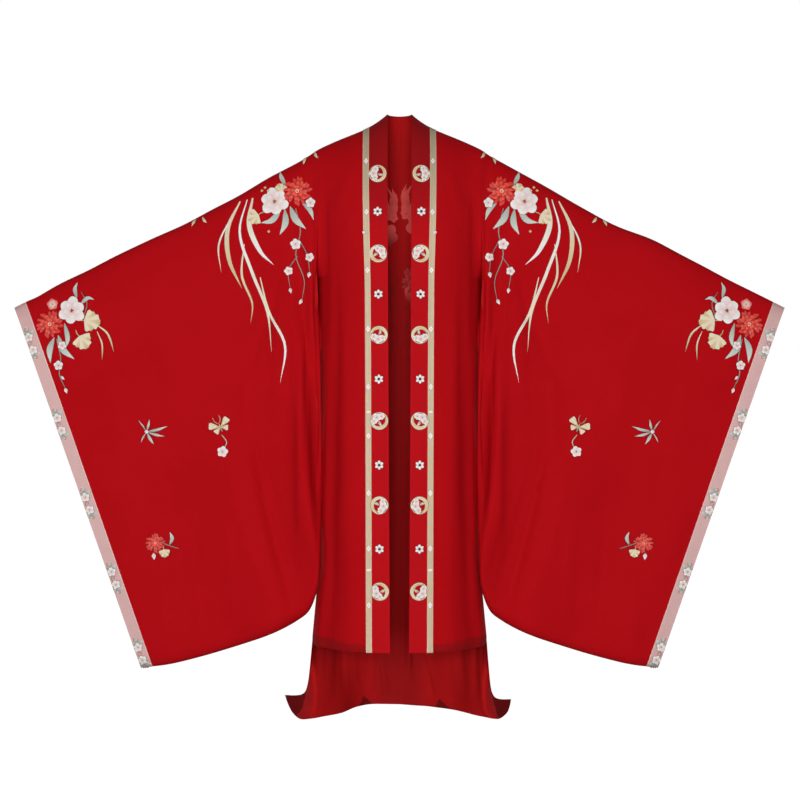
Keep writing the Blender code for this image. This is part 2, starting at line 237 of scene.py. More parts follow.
@dataclass(frozen=True)
class RobeForm:
    """The form that the worn robe keeps, in the sizes of its solids."""

    neck_out: float = 0.092
    neck_deep: float = 0.072
    nape_out: float = 0.03
    nape_deep: float = 0.052
    nape_top: float = 0.0345
    nape_rise: float = 0.0035
    neck_seam_top: float = -0.006
    neck_seam_back: float = -0.02
    neck_share: float = 0.42
    collar_sag: float = 0.004
    collar_sag_ends: float = 0.12
    collar_settles: float = 0.22
    braid_share: float = 0.25
    armhole_out: float = 0.2065
    armhole_half: float = 0.052
    armpit: float = 0.385
    front_hem: float = 1.314
    floor: float = 1.5045
    chest_round: float = 0.26
    back_round: float = 0.2
    cuff_share: float = 0.0285
    sleeve_inner: float = 0.201
    sleeve_forward: float = 0.035
    cuff_forward: float = 0.01
    seam: float = 0.0003
    arm_half_shoulder: float = 0.046
    arm_half_cuff: float = 0.034
    arm_drop: float = 0.13
    arm_narrows: float = 0.52
    narrows_over: float = 0.4
    edge_round: float = 0.035
    shoulder_round: float = 0.62
    fold_shift: float = 0.012
    fold_side_fade: float = 0.1
    fold_seam_fade: float = 0.12
    train_calm: float = 0.7
    train_spread: float = 0.35
    train_flick: float = 8.0
    train_back: float = 1.25
    train_down: float = 1.7
    train_flat: float = 0.6

    ridge = (
        Ridge(0.092, 0.006),
        Ridge(0.1925, 0.0485),
        Ridge(0.26, 0.088),
        Ridge(0.39, 0.162),
        Ridge(0.52, 0.232),
        Ridge(0.66, 0.296),
        Ridge(0.82, 0.376),
        Ridge(0.982, 0.459),
    )
    girth = (
        Girth(0.0, 0.2065, 0.122, 0.1),
        Girth(0.2, 0.2065, 0.126, 0.115),
        Girth(0.385, 0.2065, 0.13, 0.124),
        Girth(0.6, 0.2037, 0.138, 0.136),
        Girth(0.9, 0.2037, 0.15, 0.16),
        Girth(1.1, 0.2055, 0.158, 0.18),
        Girth(1.314, 0.2232, 0.166, 0.2),
    )
    band = (
        Band(-0.04, 0.03, 0.092),
        Band(0.15, 0.0297, 0.0905),
        Band(0.43, 0.0284, 0.0855),
        Band(1.314, 0.0235, 0.082),
    )
    sleeve_edge = (
        SleeveEdge(0.0, 0.2065, 0.385),
        SleeveEdge(0.05, 0.2062, 0.48),
        SleeveEdge(0.12, 0.2025, 0.64),
        SleeveEdge(0.22, 0.2015, 0.86),
        SleeveEdge(0.31, 0.2025, 1.04),
        SleeveEdge(0.36, 0.205, 1.12),
        SleeveEdge(0.41, 0.2105, 1.175),
        SleeveEdge(0.47, 0.229, 1.228),
        SleeveEdge(0.53, 0.259, 1.254),
        SleeveEdge(0.61, 0.308, 1.28),
        SleeveEdge(0.7, 0.372, 1.3055),
        SleeveEdge(0.8, 0.455, 1.333),
        SleeveEdge(0.9, 0.554, 1.358),
        SleeveEdge(0.95, 0.606, 1.3685),
        SleeveEdge(1.0, 0.659, 1.374),
    )
    sleeve_top = (
        SleeveTop(0.0, 0.2065),
        SleeveTop(0.18, 0.26),
        SleeveTop(0.36, 0.34),
        SleeveTop(0.6, 0.57),
        SleeveTop(0.8, 0.778),
        SleeveTop(1.0, 0.982),
    )
    hem_left = (
        Hem(0.0, 0.0, 0.19, 0.0),
        Hem(0.17, 0.044, 0.173, 0.0),
        Hem(0.34, 0.088, 0.152, 0.0),
        Hem(0.52, 0.14, 0.112, 0.0),
        Hem(0.7, 0.198, 0.036, 0.0),
        Hem(0.8, 0.23, 0.002, 0.0),
        Hem(0.86, 0.252, -0.013, 0.0),
        Hem(0.92, 0.277, 0.045, 0.005),
        Hem(0.96, 0.2885, 0.105, 0.012),
        Hem(1.0, 0.2945, 0.15, 0.02),
    )
    hem_right = (
        Hem(0.0, 0.0, 0.19, 0.0),
        Hem(0.17, 0.05, 0.194, 0.0),
        Hem(0.3, 0.086, 0.185, 0.0),
        Hem(0.42, 0.118, 0.146, 0.0),
        Hem(0.54, 0.15, 0.068, 0.0),
        Hem(0.68, 0.198, 0.018, 0.0),
        Hem(0.78, 0.228, -0.011, 0.0),
        Hem(0.86, 0.252, -0.014, 0.0),
        Hem(0.92, 0.276, 0.045, 0.006),
        Hem(0.96, 0.292, 0.11, 0.016),
        Hem(1.0, 0.304, 0.172, 0.027),
    )
    front_folds = (
        Fold(0.26, 0.26, 0.006, 0.25, 1.1),
        Fold(0.58, 0.17, -0.0065, 0.3, 0.95),
        Fold(0.8, 0.12, 0.005, 0.35, 1.0),
    )
    back_folds = (
        Fold(0.13, 0.11, -0.011, 0.3, 1.3),
        Fold(0.26, 0.11, 0.011, 0.35, 1.2),
        Fold(0.41, 0.1, -0.012, 0.4, 1.3),
        Fold(0.55, 0.1, 0.011, 0.35, 1.25),
        Fold(0.7, 0.09, -0.008, 0.4, 1.2),
        Fold(0.84, 0.08, 0.006, 0.45, 1.2),
    )
    sleeve_folds = (
        Fold(0.13, 0.07, -0.009, 0.15, 0.6),
        Fold(0.24, 0.08, 0.01, 0.12, 0.55),
        Fold(0.36, 0.09, -0.011, 0.15, 0.7),
        Fold(0.5, 0.1, 0.009, 0.25, 0.85),
        Fold(0.64, 0.1, -0.009, 0.2, 0.8),
        Fold(0.78, 0.09, 0.008, 0.25, 0.85),
        Fold(0.91, 0.08, -0.006, 0.3, 0.9),
    )

    def shoulder_height(self, out: Any) -> Any:
        """Height of the shoulder line at a distance from the middle."""
        return -read(self.ridge, out)[0]

    @staticmethod
    def section(share: Any) -> Any:
        """Depth of the body's rounded section, as a share, at a share of its half width."""
        return np.maximum(1.0 - np.minimum(share, 1.0) ** 2.2, 0.0) ** (1 / 1.7)

    @staticmethod
    def fall(row: Any) -> Any:
        """Share of the way from the top edge to the armpit at a row from 0 to 1."""
        return 0.5 * (1.0 - np.cos(np.pi * np.minimum(row, 1.0)))

    @staticmethod
    def spread(share: Any) -> Any:
        """Share of the body's half width at a share of its columns, finer towards the side."""
        return mix(share, np.sin(0.5 * np.pi * share), 0.6)

    @staticmethod
    def rounding(drop: Any, reach: float, power: Any) -> Any:
        """How much of its full depth the body has reached at a drop below its top edge."""
        return quarter(drop / reach) ** (2.0 * power)

    @staticmethod
    def open_section(share: Any, flat: float, waved: float) -> Any:
        """Depth of the body's section where it opens into the sleeve."""
        return mix(1.0 - share**flat, 0.5 + 0.5 * np.cos(np.pi * share), waved)

    def armhole(self, turn: Any) -> Any:
        """Half the depth of the armhole at a turn of 0 at the shoulder to pi at the armpit."""
        return self.armhole_half * np.maximum(np.sin(turn), 0.0) ** 0.8

    def arm_swell(self, row: Any, share: Any, opened: Any) -> Any:
        """How far the sleeve's fullness pushes the body out beside the armhole."""
        fading = 1.0 - ease((self.fall(row) - 0.2) / 0.8)
        soft = self.armhole_half * quarter(2.5 * self.fall(row)) * fading
        return mix(soft, self.armhole(np.pi * np.minimum(row, 1.0)), share**6) * (1.0 - opened)

    def height_at(self, row: Any, top: Any) -> Any:
        """Height at a row: 0 to 1 down to the armpit, 1 to 2 from there to the front hem."""
        above = mix(top, -self.armpit, self.fall(row))
        below = mix(-self.armpit, -self.front_hem, np.minimum(row, 2.0) - 1.0)
        return np.where(row <= 1.0, above, below)

    def front_point(self, side: int, share: Any, row: Any) -> Array:
        """Points of a front: share from the collar's seam to the side, row down from the shoulder."""
        top_out = mix(self.neck_out, self.armhole_out, share)
        top = self.shoulder_height(top_out)
        height = self.height_at(row, top)
        half_width, front, _ = read(self.girth, -height)
        seam_out = read(self.band, -height)[1]
        low_out = mix(seam_out, half_width, self.spread(share))
        seam_depth = self.section(seam_out / half_width)
        depth = front * seam_depth * self.rounding(top - height, self.chest_round, self.shoulder_round)
        opened = self.open_section(share, 1.8, 0.6)
        closed = self.section(low_out / half_width) / seam_depth
        shape = mix(opened, closed, ease((self.fall(row) - 0.15) / 0.85))
        fold = folds_out(self.front_folds, share, -height, self.fold_shift * side)
        fold = fold * ease((1.0 - share) / self.fold_side_fade) * ease(share / self.fold_seam_fade)
        out = mix(top_out, low_out, ease(row))
        away = depth * shape + self.arm_swell(row, share, opened) + fold
        return np.stack(np.broadcast_arrays(side * out, -away, height), axis=-1)

    def neck_seam(self, turn: Any) -> list[Array]:
        """Places of the back neck seam, at a turn of 0 at the shoulder to 1 at the middle."""
        angle = 0.5 * np.pi * turn
        lift = (self.neck_seam_top - self.neck_seam_back) * np.cos(angle) ** 2
        return [self.neck_out * np.cos(angle), self.neck_deep * np.sin(angle), self.neck_seam_back + lift]

    def back_point(self, side: int, share: Any, row: Any) -> Array:
        """Points of a back: share from the middle to the side, row down; from 2 to 3 it trails."""
        seam = self.neck_seam(1.0 - np.minimum(share / self.neck_share, 1.0))
        past = np.maximum(share - self.neck_share, 0.0) / (1.0 - self.neck_share)
        shoulder = mix(self.neck_out, self.armhole_out, past)
        on_neck = share <= self.neck_share
        top_out = np.where(on_neck, seam[0], shoulder)
        top_deep = np.where(on_neck, seam[1], 0.0)
        top = np.where(on_neck, seam[2], self.shoulder_height(shoulder))
        height = self.height_at(row, top)
        half_width, _, back = read(self.girth, -height)
        across = self.spread(share)
        out = mix(top_out, half_width * across, ease(row))
        power = mix(1.0, self.shoulder_round, np.minimum(share / self.neck_share, 1.0))
        reached = self.rounding(top - height, self.back_round, power)
        opened = self.open_section(across, 2.4, 0.5)
        shape = mix(opened, self.section(across), ease((self.fall(row) - 0.15) / 0.85))
        depth = mix(top_deep, back * shape, reached) + self.arm_swell(row, share, opened)
        fold = folds_out(self.back_folds, share, -height, self.fold_shift * side)
        swept = np.clip(row - 2.0, 0.0, 1.0)
        calmer = (1.0 - self.train_calm * ease((row - 1.7) / 0.3)) * (1.0 - self.train_flat * swept)
        fold = fold * ease((1.0 - share) / self.fold_side_fade) * calmer
        hem_out, hem_back, lift = read(self.hem_left if side > 0 else self.hem_right, share)
        outwards = mix(swept**self.train_flick, swept, self.train_spread)
        out = np.where(swept > 0.0, mix(out, hem_out, outwards), out)
        deep = np.where(swept > 0.0, mix(depth, hem_back, swept**self.train_back), depth)
        trail = mix(-self.front_hem, lift - self.floor, 1.0 - (1.0 - swept) ** self.train_down)
        height = np.where(swept > 0.0, trail, height)
        return np.stack(np.broadcast_arrays(side * out, deep + fold, height), axis=-1)

    def sleeve_point(self, side: int, share: Any, around: Any) -> Array:
        """Points of a sleeve.

        Args:
            side: 1 for the left, -1 for the right.
            share: Place from the armhole, 0, to the cuff, 1.
            around: Place from the top of the arm, 0, down the front to the edge, 0.5, and up the back, 1.

        Returns:
            The points.
        """
        in_front = around <= 0.5
        way = 0.5 * (1.0 - np.cos(2.0 * np.pi * around))
        top_out = read(self.sleeve_top, share)[0]
        edge_out, edge_down = read(self.sleeve_edge, share)
        top = self.shoulder_height(top_out)
        out = mix(top_out, edge_out, way)
        height = mix(top, -edge_down, way)
        length = np.hypot(top_out - edge_out, top + edge_down)
        below = way * length
        inside = np.hypot(np.maximum(out - self.sleeve_inner, 0.0), np.maximum(height + self.armpit, 0.0))
        half = mix(self.arm_half_shoulder, self.arm_half_cuff, share) * quarter(below / self.arm_drop)
        half = half * mix(1.0, self.arm_narrows, ease((below - self.arm_drop) / self.narrows_over))
        half = half * quarter((1.0 - way) * length / self.edge_round) * quarter(inside / self.edge_round)
        turn = 2.0 * np.pi * np.where(in_front, around, 1.0 - around)
        half = mix(self.armhole(turn), half, ease(share / 0.12))
        forward = mix(self.sleeve_forward, self.cuff_forward, ease((share - 0.25) / 0.5))
        forward = forward * ease(share / 0.06) * ease((below - 0.2) / 0.3)
        fold = folds_out(self.sleeve_folds, share, way, 0.0) * ease((share - 0.04) / 0.06)
        out = out + self.seam * np.maximum(1.0 - share / 0.05, 0.0)
        away = np.where(in_front, -half, half) - forward + fold
        return np.stack(np.broadcast_arrays(side * out, away, height), axis=-1)

    def collar_point(self, side: int, across: Any, along: Any) -> Array:
        """Points of the collar band.

        Args:
            side: 1 for the left, -1 for the right.
            across: Place from its free edge, 0, to its seam, 1.
            along: Place from the hem, 2, up to the shoulder, 0, and on to the middle of the back, -1.

        Returns:
            The points.
        """
        behind = np.minimum(along, 0.0)
        angle = -0.5 * np.pi * behind
        seam = np.stack(np.broadcast_arrays(*self.neck_seam(-behind)), axis=-1)
        nape_height = self.nape_top + self.nape_rise * np.sin(angle)
        nape = (self.nape_out * np.cos(angle), self.nape_deep * np.sin(angle), nape_height)
        nape = np.stack(np.broadcast_arrays(*nape), axis=-1)
        edge = self.front_point(1, 0.0, np.maximum(along, 0.0))
        drop = self.shoulder_height(self.neck_out) - edge[..., 2]
        lifted = (self.nape_top - self.neck_seam_top) * (1.0 - ease(drop / self.collar_settles))
        height = edge[..., 2] + lifted
        half_width, front, _ = read(self.girth, -height)
        inner_out = read(self.band, -height)[0]
        rounded = self.rounding(drop, self.chest_round, self.shoulder_round)
        depth = front * self.section(inner_out / half_width) * rounded
        free = np.stack((inner_out, -depth, height), axis=-1)
        is_behind = (along < 0.0)[..., None]
        outer = np.where(is_behind, seam, edge)
        inner = np.where(is_behind, nape, free)
        sag = np.where(along < 0.0, np.cos(angle), 1.0 - ease(drop / self.collar_sag_ends)) * self.collar_sag
        point = mix(inner, outer, np.asarray(across)[..., None])
        point[..., 0] *= side
        point[..., 2] -= sag * 4.0 * across * (1.0 - across)
        return point

    def band_out(self, down: float, across: float) -> float:
        """Distance from the middle of a place across the collar band, at a distance below the shoulder."""
        inner, outer = read(self.band, down)
        return float(mix(inner, outer, across))


CUFF_START = 1.0 - RobeForm.cuff_share


class Wire:
    """A shader socket that takes part in Python sums, each of which adds the Math node for it."""

    def __init__(self, board: "Board", socket: Socket) -> None:
        """Wraps an output socket of a node on a board."""
        self.board = board
        self.socket = socket

    def part(self, name: str) -> "Wire":
        """Another output of the same node, by its name."""
        return Wire(self.board, self.socket.node.outputs[name])

    def maths(self, operation: str, first: Any, second: Any = 0.0) -> "Wire":
        """A Math node of an operation on one or two values."""
        return self.board.node("ShaderNodeMath", {"operation": operation}, {0: first, 1: second})

    def __add__(self, other: Any) -> "Wire":
        """Sum."""
        return self.maths("ADD", self, other)

    def __radd__(self, other: Any) -> "Wire":
        """Sum with a number on the left."""
        return self.maths("ADD", other, self)

    def __sub__(self, other: Any) -> "Wire":
        """Difference."""
        return self.maths("SUBTRACT", self, other)

    def __rsub__(self, other: Any) -> "Wire":
        """Difference with a number on the left."""
        return self.maths("SUBTRACT", other, self)

    def __mul__(self, other: Any) -> "Wire":
        """Product."""
        return self.maths("MULTIPLY", self, other)

    def __rmul__(self, other: Any) -> "Wire":
        """Product with a number on the left."""
        return self.maths("MULTIPLY", other, self)

    def __abs__(self) -> "Wire":
        """Size without its sign."""
        return self.maths("ABSOLUTE", self)

    def __lt__(self, other: Any) -> "Wire":
        """Mask that is 1 where the value is the smaller one."""
        return self.maths("LESS_THAN", self, other)

    def __gt__(self, other: Any) -> "Wire":
        """Mask that is 1 where the value is the larger one."""
        return self.maths("GREATER_THAN", self, other)

    def positive(self) -> "Wire":
        """The value, or 0 where it is negative."""
        return self.maths("MAXIMUM", self)

    def wave(self, pitch: float) -> "Wire":
        """Wave from 0 to 1 that repeats every pitch."""
        return self.maths("SINE", self * (2.0 * math.pi / pitch)) * 0.5 + 0.5


class Board:
    """A material's node tree, with one method that makes every node."""

    def __init__(self, name: str) -> None:
        """Makes a material with a Principled shader on its output."""
        self.material = bpy.data.materials.new(name)
        self.material.use_nodes = True
        self.tree = self.material.node_tree
        self.shader = self.tree.nodes["Principled BSDF"]

    def node(self, kind: str, settings: Values = None, inputs: Values = None) -> Wire:
        """Adds a node.

        Args:
            kind: The node's type.
            settings: Its settings by name, set before its inputs.
            inputs: Values, or wires, for its sockets by name or number.

        Returns:
            The wire of its first output.
        """
        node = self.tree.nodes.new(kind)
        for name, value in (settings or {}).items():
            setattr(node, name, value)
        for name, value in (inputs or {}).items():
            self.feed(node.inputs[name], value)
        return Wire(self, node.outputs[0])

    def feed(self, socket: Socket, value: Any) -> None:
        """Links a wire to a socket, or sets a plain value on it."""
        if isinstance(value, Wire):
            self.tree.links.new(value.socket, socket)
        elif socket.type == "RGBA" and len(value) == 3:
            socket.default_value = (*value, 1.0)
        else:
            socket.default_value = value

    def flat_place(self) -> tuple[Wire, Wire, Wire]:
        """The piece's UV map, laid out in metres: the vector, and its two numbers."""
        place = self.node("ShaderNodeUVMap", {"uv_map": "flat"})
        parts = self.node("ShaderNodeSeparateXYZ", inputs={0: place})
        return place, parts, parts.part("Y")

    def noise(self, place: Wire, scale: float, detail: float = 2.0) -> Wire:
        """Soft noise from 0 to 1 at a place; the scale is its features to a metre."""
        return self.node("ShaderNodeTexNoise", inputs={"Vector": place, "Scale": scale, "Detail": detail})

    def blend(self, factor: Any, first: Any, second: Any) -> Wire:
        """Colour between two colours."""
        settings = {"data_type": "RGBA"}
        wire = self.node("ShaderNodeMix", settings, {0: factor, 6: first, 7: second})
        return Wire(self, wire.socket.node.outputs[2])

    def raise_by(self, height: Wire) -> Wire:
        """Normal of a surface raised by a height in metres."""
        return self.node("ShaderNodeBump", inputs={"Strength": 1.0, "Distance": 1.0, "Height": height})

    def finish(self, **sockets: Any) -> Paint:
        """Feeds the shader's sockets, named with underscores, and gives the material."""
        for name, value in sockets.items():
            self.feed(self.shader.inputs[name.replace("_", " ")], value)
        return self.material


@dataclass(frozen=True)
class Satin:
    """Smooth silk satin with a low sheen, a fine twill and soft crumples; its reverse has its own red, and
    marked faces take maroon painted shade.
    """

    name: str
    deep: Colour
    bright: Colour
    inner: Colour
    turned: Colour
    roughness: float = 0.46
    twill: float = 0.0012
    crumple: float = 0.0005

    def make(self) -> Paint:
        """The satin's material."""
        board = Board(self.name)
        place, across, along = board.flat_place()
        twill = (across + along * 0.6).wave(self.twill)
        slub = board.noise(place, 260.0)
        cloud = board.noise(place, 5.0, 3.0)
        crumple = board.noise(place, 22.0, 3.0)
        tone = cloud * 0.75 + slub * 0.25 + twill * 0.12 - 0.06
        height = twill * 0.00002 + slub * 0.00003 + crumple * self.crumple
        reverse = board.node("ShaderNodeAttribute", {"attribute_name": "reverse"}).part("Fac")
        cloth = board.blend(tone, self.deep, self.bright)
        # Painted shade: outer faces marked below 0, and inner faces marked from 1 to 2, blend towards the
        # maroon, which also colours a corner's real underside.
        face = board.blend((0.0 - reverse).positive(), cloth, self.turned)
        inner = board.blend((reverse > 0.5) * 0.9, face, self.inner)
        return board.finish(
            Base_Color=board.blend((reverse - 1.0).positive(), inner, self.turned),
            Roughness=self.roughness - 0.08 + cloud * 0.1 + twill * 0.06 + (reverse > 1.5) * 0.35,
            Normal=board.raise_by(height),
            Specular_IOR_Level=0.03,
            Specular_Tint=(1.0, 0.08, 0.08),
        )


@dataclass(frozen=True)
class GoldBraid:
    """Flat woven braid of pale gold thread, with chevrons between two corded edges."""

    name: str
    gold: Colour
    olive: Colour
    width: float = 0.0155
    chevron: float = 0.003

    def make(self) -> Paint:
        """The braid's material."""
        board = Board(self.name)
        place, across, along = board.flat_place()
        off_middle = abs(across - 0.5 * self.width)
        chevron = (along + off_middle * 0.9).wave(self.chevron)
        thread = across.wave(0.0011)
        speckle = board.noise(place, 420.0, 1.0)
        edge = 1.0 - (off_middle < 0.38 * self.width)
        dark = (chevron * 0.45 + speckle * 0.75 - 0.2) * (1.0 - edge * 0.8)
        return board.finish(
            Base_Color=board.blend(dark, self.gold, self.olive),
            Roughness=0.4 + chevron * 0.16,
            Metallic=0.18 + thread * 0.12,
            Normal=board.raise_by(chevron * 0.00016 + thread * 0.00007),
            Specular_IOR_Level=0.5,
        )


@dataclass(frozen=True)
class CuffBrocade:
    """Dusty pink woven border band, with a paler cord along its inner edge."""

    name: str
    ground: Colour
    figure: Colour
    cord: Colour
    cord_width: float = 0.0024
    repeat: float = 0.0062

    def make(self) -> Paint:
        """The brocade's material."""
        board = Board(self.name)
        place, across, along = board.flat_place()
        lattice = (across + along).wave(self.repeat) * (across - along).wave(self.repeat)
        rib = along.wave(0.0011)
        cloud = board.noise(place, 30.0)
        tone = lattice * 0.55 + cloud * 0.5 - 0.1
        woven = board.blend(tone, self.ground, self.figure)
        on_cord = across < self.cord_width
        height = lattice * 0.0001 + rib * 0.00004 + on_cord * 0.0004
        return board.finish(
            Base_Color=board.blend(on_cord, woven, self.cord),
            Roughness=0.44 + rib * 0.1,
            Normal=board.raise_by(height),
            Specular_IOR_Level=0.4,
            Sheen_Weight=0.12,
            Sheen_Roughness=0.4,
        )


@dataclass(frozen=True)
class Silk:
    """Embroidery silk: each area has its own colour, laid in close parallel stitches."""

    name: str
    shine: float = 0.28
    roughness: float = 0.38
    stitch: float = 0.0009

    def make(self) -> Paint:
        """The silk's material."""
        board = Board(self.name)
        place, _, aside = board.flat_place()
        colour = board.node("ShaderNodeAttribute", {"attribute_name": "silk"})
        lines = (aside + board.noise(place, 90.0) * 0.0006).wave(self.stitch)
        shade = board.blend(0.62, (0.0, 0.0, 0.0), colour)
        return board.finish(
            Base_Color=board.blend(lines * 0.5 + 0.5, shade, colour),
            Roughness=self.roughness + lines * 0.12,
            Normal=board.raise_by(lines * 0.0001),
            Specular_IOR_Level=self.shine,
        )


@dataclass(frozen=True)
class Polished:
    """A bead's silver or the sewing thread, faintly uneven."""

    name: str
    colour: Colour
    metallic: float
    roughness: float

    def make(self) -> Paint:
        """The material."""
        board = Board(self.name)
        place = board.node("ShaderNodeTexCoord").part("Object")
        cloud = board.noise(place, 400.0)
        shade = tuple(0.8 * part for part in self.colour)
        return board.finish(
            Base_Color=board.blend(cloud, shade, self.colour),
            Roughness=self.roughness + cloud * 0.1,
            Metallic=self.metallic,
            Coat_Weight=0.3,
        )


# The reverse's own red, and the maroon of a corner's underside that also serves as painted shade.
INNER_RED: Colour = (0.43, 0.0092, 0.0102)
MAROON: Colour = (0.17, 0.0074, 0.0084)
ROBE_SATIN = Satin("robe_red_satin", (0.36, 0.003, 0.0055), (0.44, 0.0055, 0.009), INNER_RED, MAROON)
BAND_SATIN = Satin(
    "band_red_satin",
    (0.4, 0.0045, 0.008),
    (0.48, 0.008, 0.012),
    INNER_RED,
    MAROON,
    roughness=0.42,
    twill=0.0014,
    crumple=0.0002,
)
BRAID = GoldBraid("gold_braid", (0.64, 0.51, 0.35), (0.35, 0.29, 0.18))
CUFF_PINK = CuffBrocade(
    "cuff_pink_brocade",
    ground=(0.56, 0.33, 0.32),
    figure=(0.68, 0.43, 0.41),
    cord=(0.72, 0.49, 0.44),
)
STITCHING = Silk("embroidery_silk")
REVERSE = Silk("embroidery_reverse", shine=0.05, roughness=0.62)
SILVER = Polished("bead_silver", (0.9, 0.89, 0.87), metallic=0.2, roughness=0.25)
SEWING = Polished("sewing_thread", (0.33, 0.01, 0.012), metallic=0.0, roughness=0.55)


class Workroom:
    """The steps that every piece shares: new meshes, modifiers, and what is logged."""

    @staticmethod
    def select_only(piece: Piece) -> None:
        """Makes one object the only selected and the active one."""
        for other in bpy.context.selected_objects:
            other.select_set(False)
        piece.select_set(True)
        bpy.context.view_layer.objects.active = piece

    @staticmethod
    def mesh_piece(name: str, points: Array, faces: Array, flat: Array) -> Piece:
        """An object of a new mesh.

        Args:
            name: The piece's name.
            points: Its vertices.
            faces: Its quads, as rows of vertex numbers.
            flat: For each vertex, its place on the flat cloth, in metres.

        Returns:
            The object, linked to the scene.
        """
        mesh = bpy.data.meshes.new(name)
        mesh.from_pydata(points.tolist(), [], faces.tolist())
        corners = np.empty(len(mesh.loops), dtype=np.int32)
        mesh.loops.foreach_get("vertex_index", corners)
        mesh.uv_layers.new(name="flat").data.foreach_set("uv", flat[corners].astype(np.float32).ravel())
        mesh.update()
        piece = bpy.data.objects.new(name, mesh)
        bpy.context.scene.collection.objects.link(piece)
        return piece

    @staticmethod
    def resize_where(
        piece: Piece,
        chosen: Callable[[Vector], bool],
        value: Triple,
        centre: Triple = (0.0, 0.0, 0.0),
    ) -> None:
        """Scales some vertices of a mesh that is in edit mode.

        Args:
            piece: The object in edit mode.
            chosen: Test of a vertex's place.
            value: Scale along each axis.
            centre: The point that stays where it is.
        """
        bm = bmesh.from_edit_mesh(piece.data)
        for face in bm.faces:
            face.select = False
        for vert in bm.verts:
            vert.select = chosen(vert.co)
        bm.select_flush_mode()
        bpy.ops.transform.resize(value=value, center_override=centre)

    @staticmethod
    def take(piece: Piece) -> tuple[Array, Array]:
        """Vertices and faces of a shaped primitive, which then leaves the scene."""
        mesh = piece.data
        points = np.array([tuple(vert.co) for vert in mesh.vertices])
        faces = np.array([tuple(face.vertices) for face in mesh.polygons])
        bpy.data.objects.remove(piece)
        bpy.data.meshes.remove(mesh)
        return points, faces

    @classmethod
    def thicken(cls, piece: Piece, thickness: float, offset: float) -> None:
        """Gives a sheet its thickness and smooth faces with a crisp cut edge."""
        cls.select_only(piece)
        wall = piece.modifiers.new("wall", "SOLIDIFY")
        wall.thickness = thickness
        wall.offset = offset
        bpy.ops.object.modifier_apply(modifier=wall.name)
        bpy.ops.object.shade_smooth_by_angle(angle=math.radians(50.0))

    @staticmethod
    def carry(piece: Piece, slot: str, material: Paint) -> None:
        """Dresses a piece and lets it ride on the robe."""
        piece.data.materials.clear()
        piece.data.materials.append(material)
        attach(piece, BODY)
        piece.data.calc_loop_triangles()
        LOG.info("%s: %d triangles", piece.name, len(piece.data.loop_triangles))

    @staticmethod
    def ground(pieces: Sequence[Piece]) -> BVHTree:
        """A search tree over the faces of several pieces."""
        points: list[Vector] = []
        faces: list[tuple[int, ...]] = []
        for piece in pieces:
            first = len(points)
            points += [vert.co.copy() for vert in piece.data.vertices]
            faces += [tuple(first + corner for corner in face.vertices) for face in piece.data.polygons]
        return BVHTree.FromPolygons(points, faces)


def even(start: float, end: float, steps: int) -> Array:
    """Places spaced evenly from start to end."""
    return np.linspace(start, end, steps + 1)


def joined(runs: Sequence[Run]) -> Array:
    """Places of evenly spaced runs put one after the other, each starting where the last one ends."""
    places = [even(*run) for run in runs]
    return np.concatenate([places[0]] + [place[1:] for place in places[1:]])


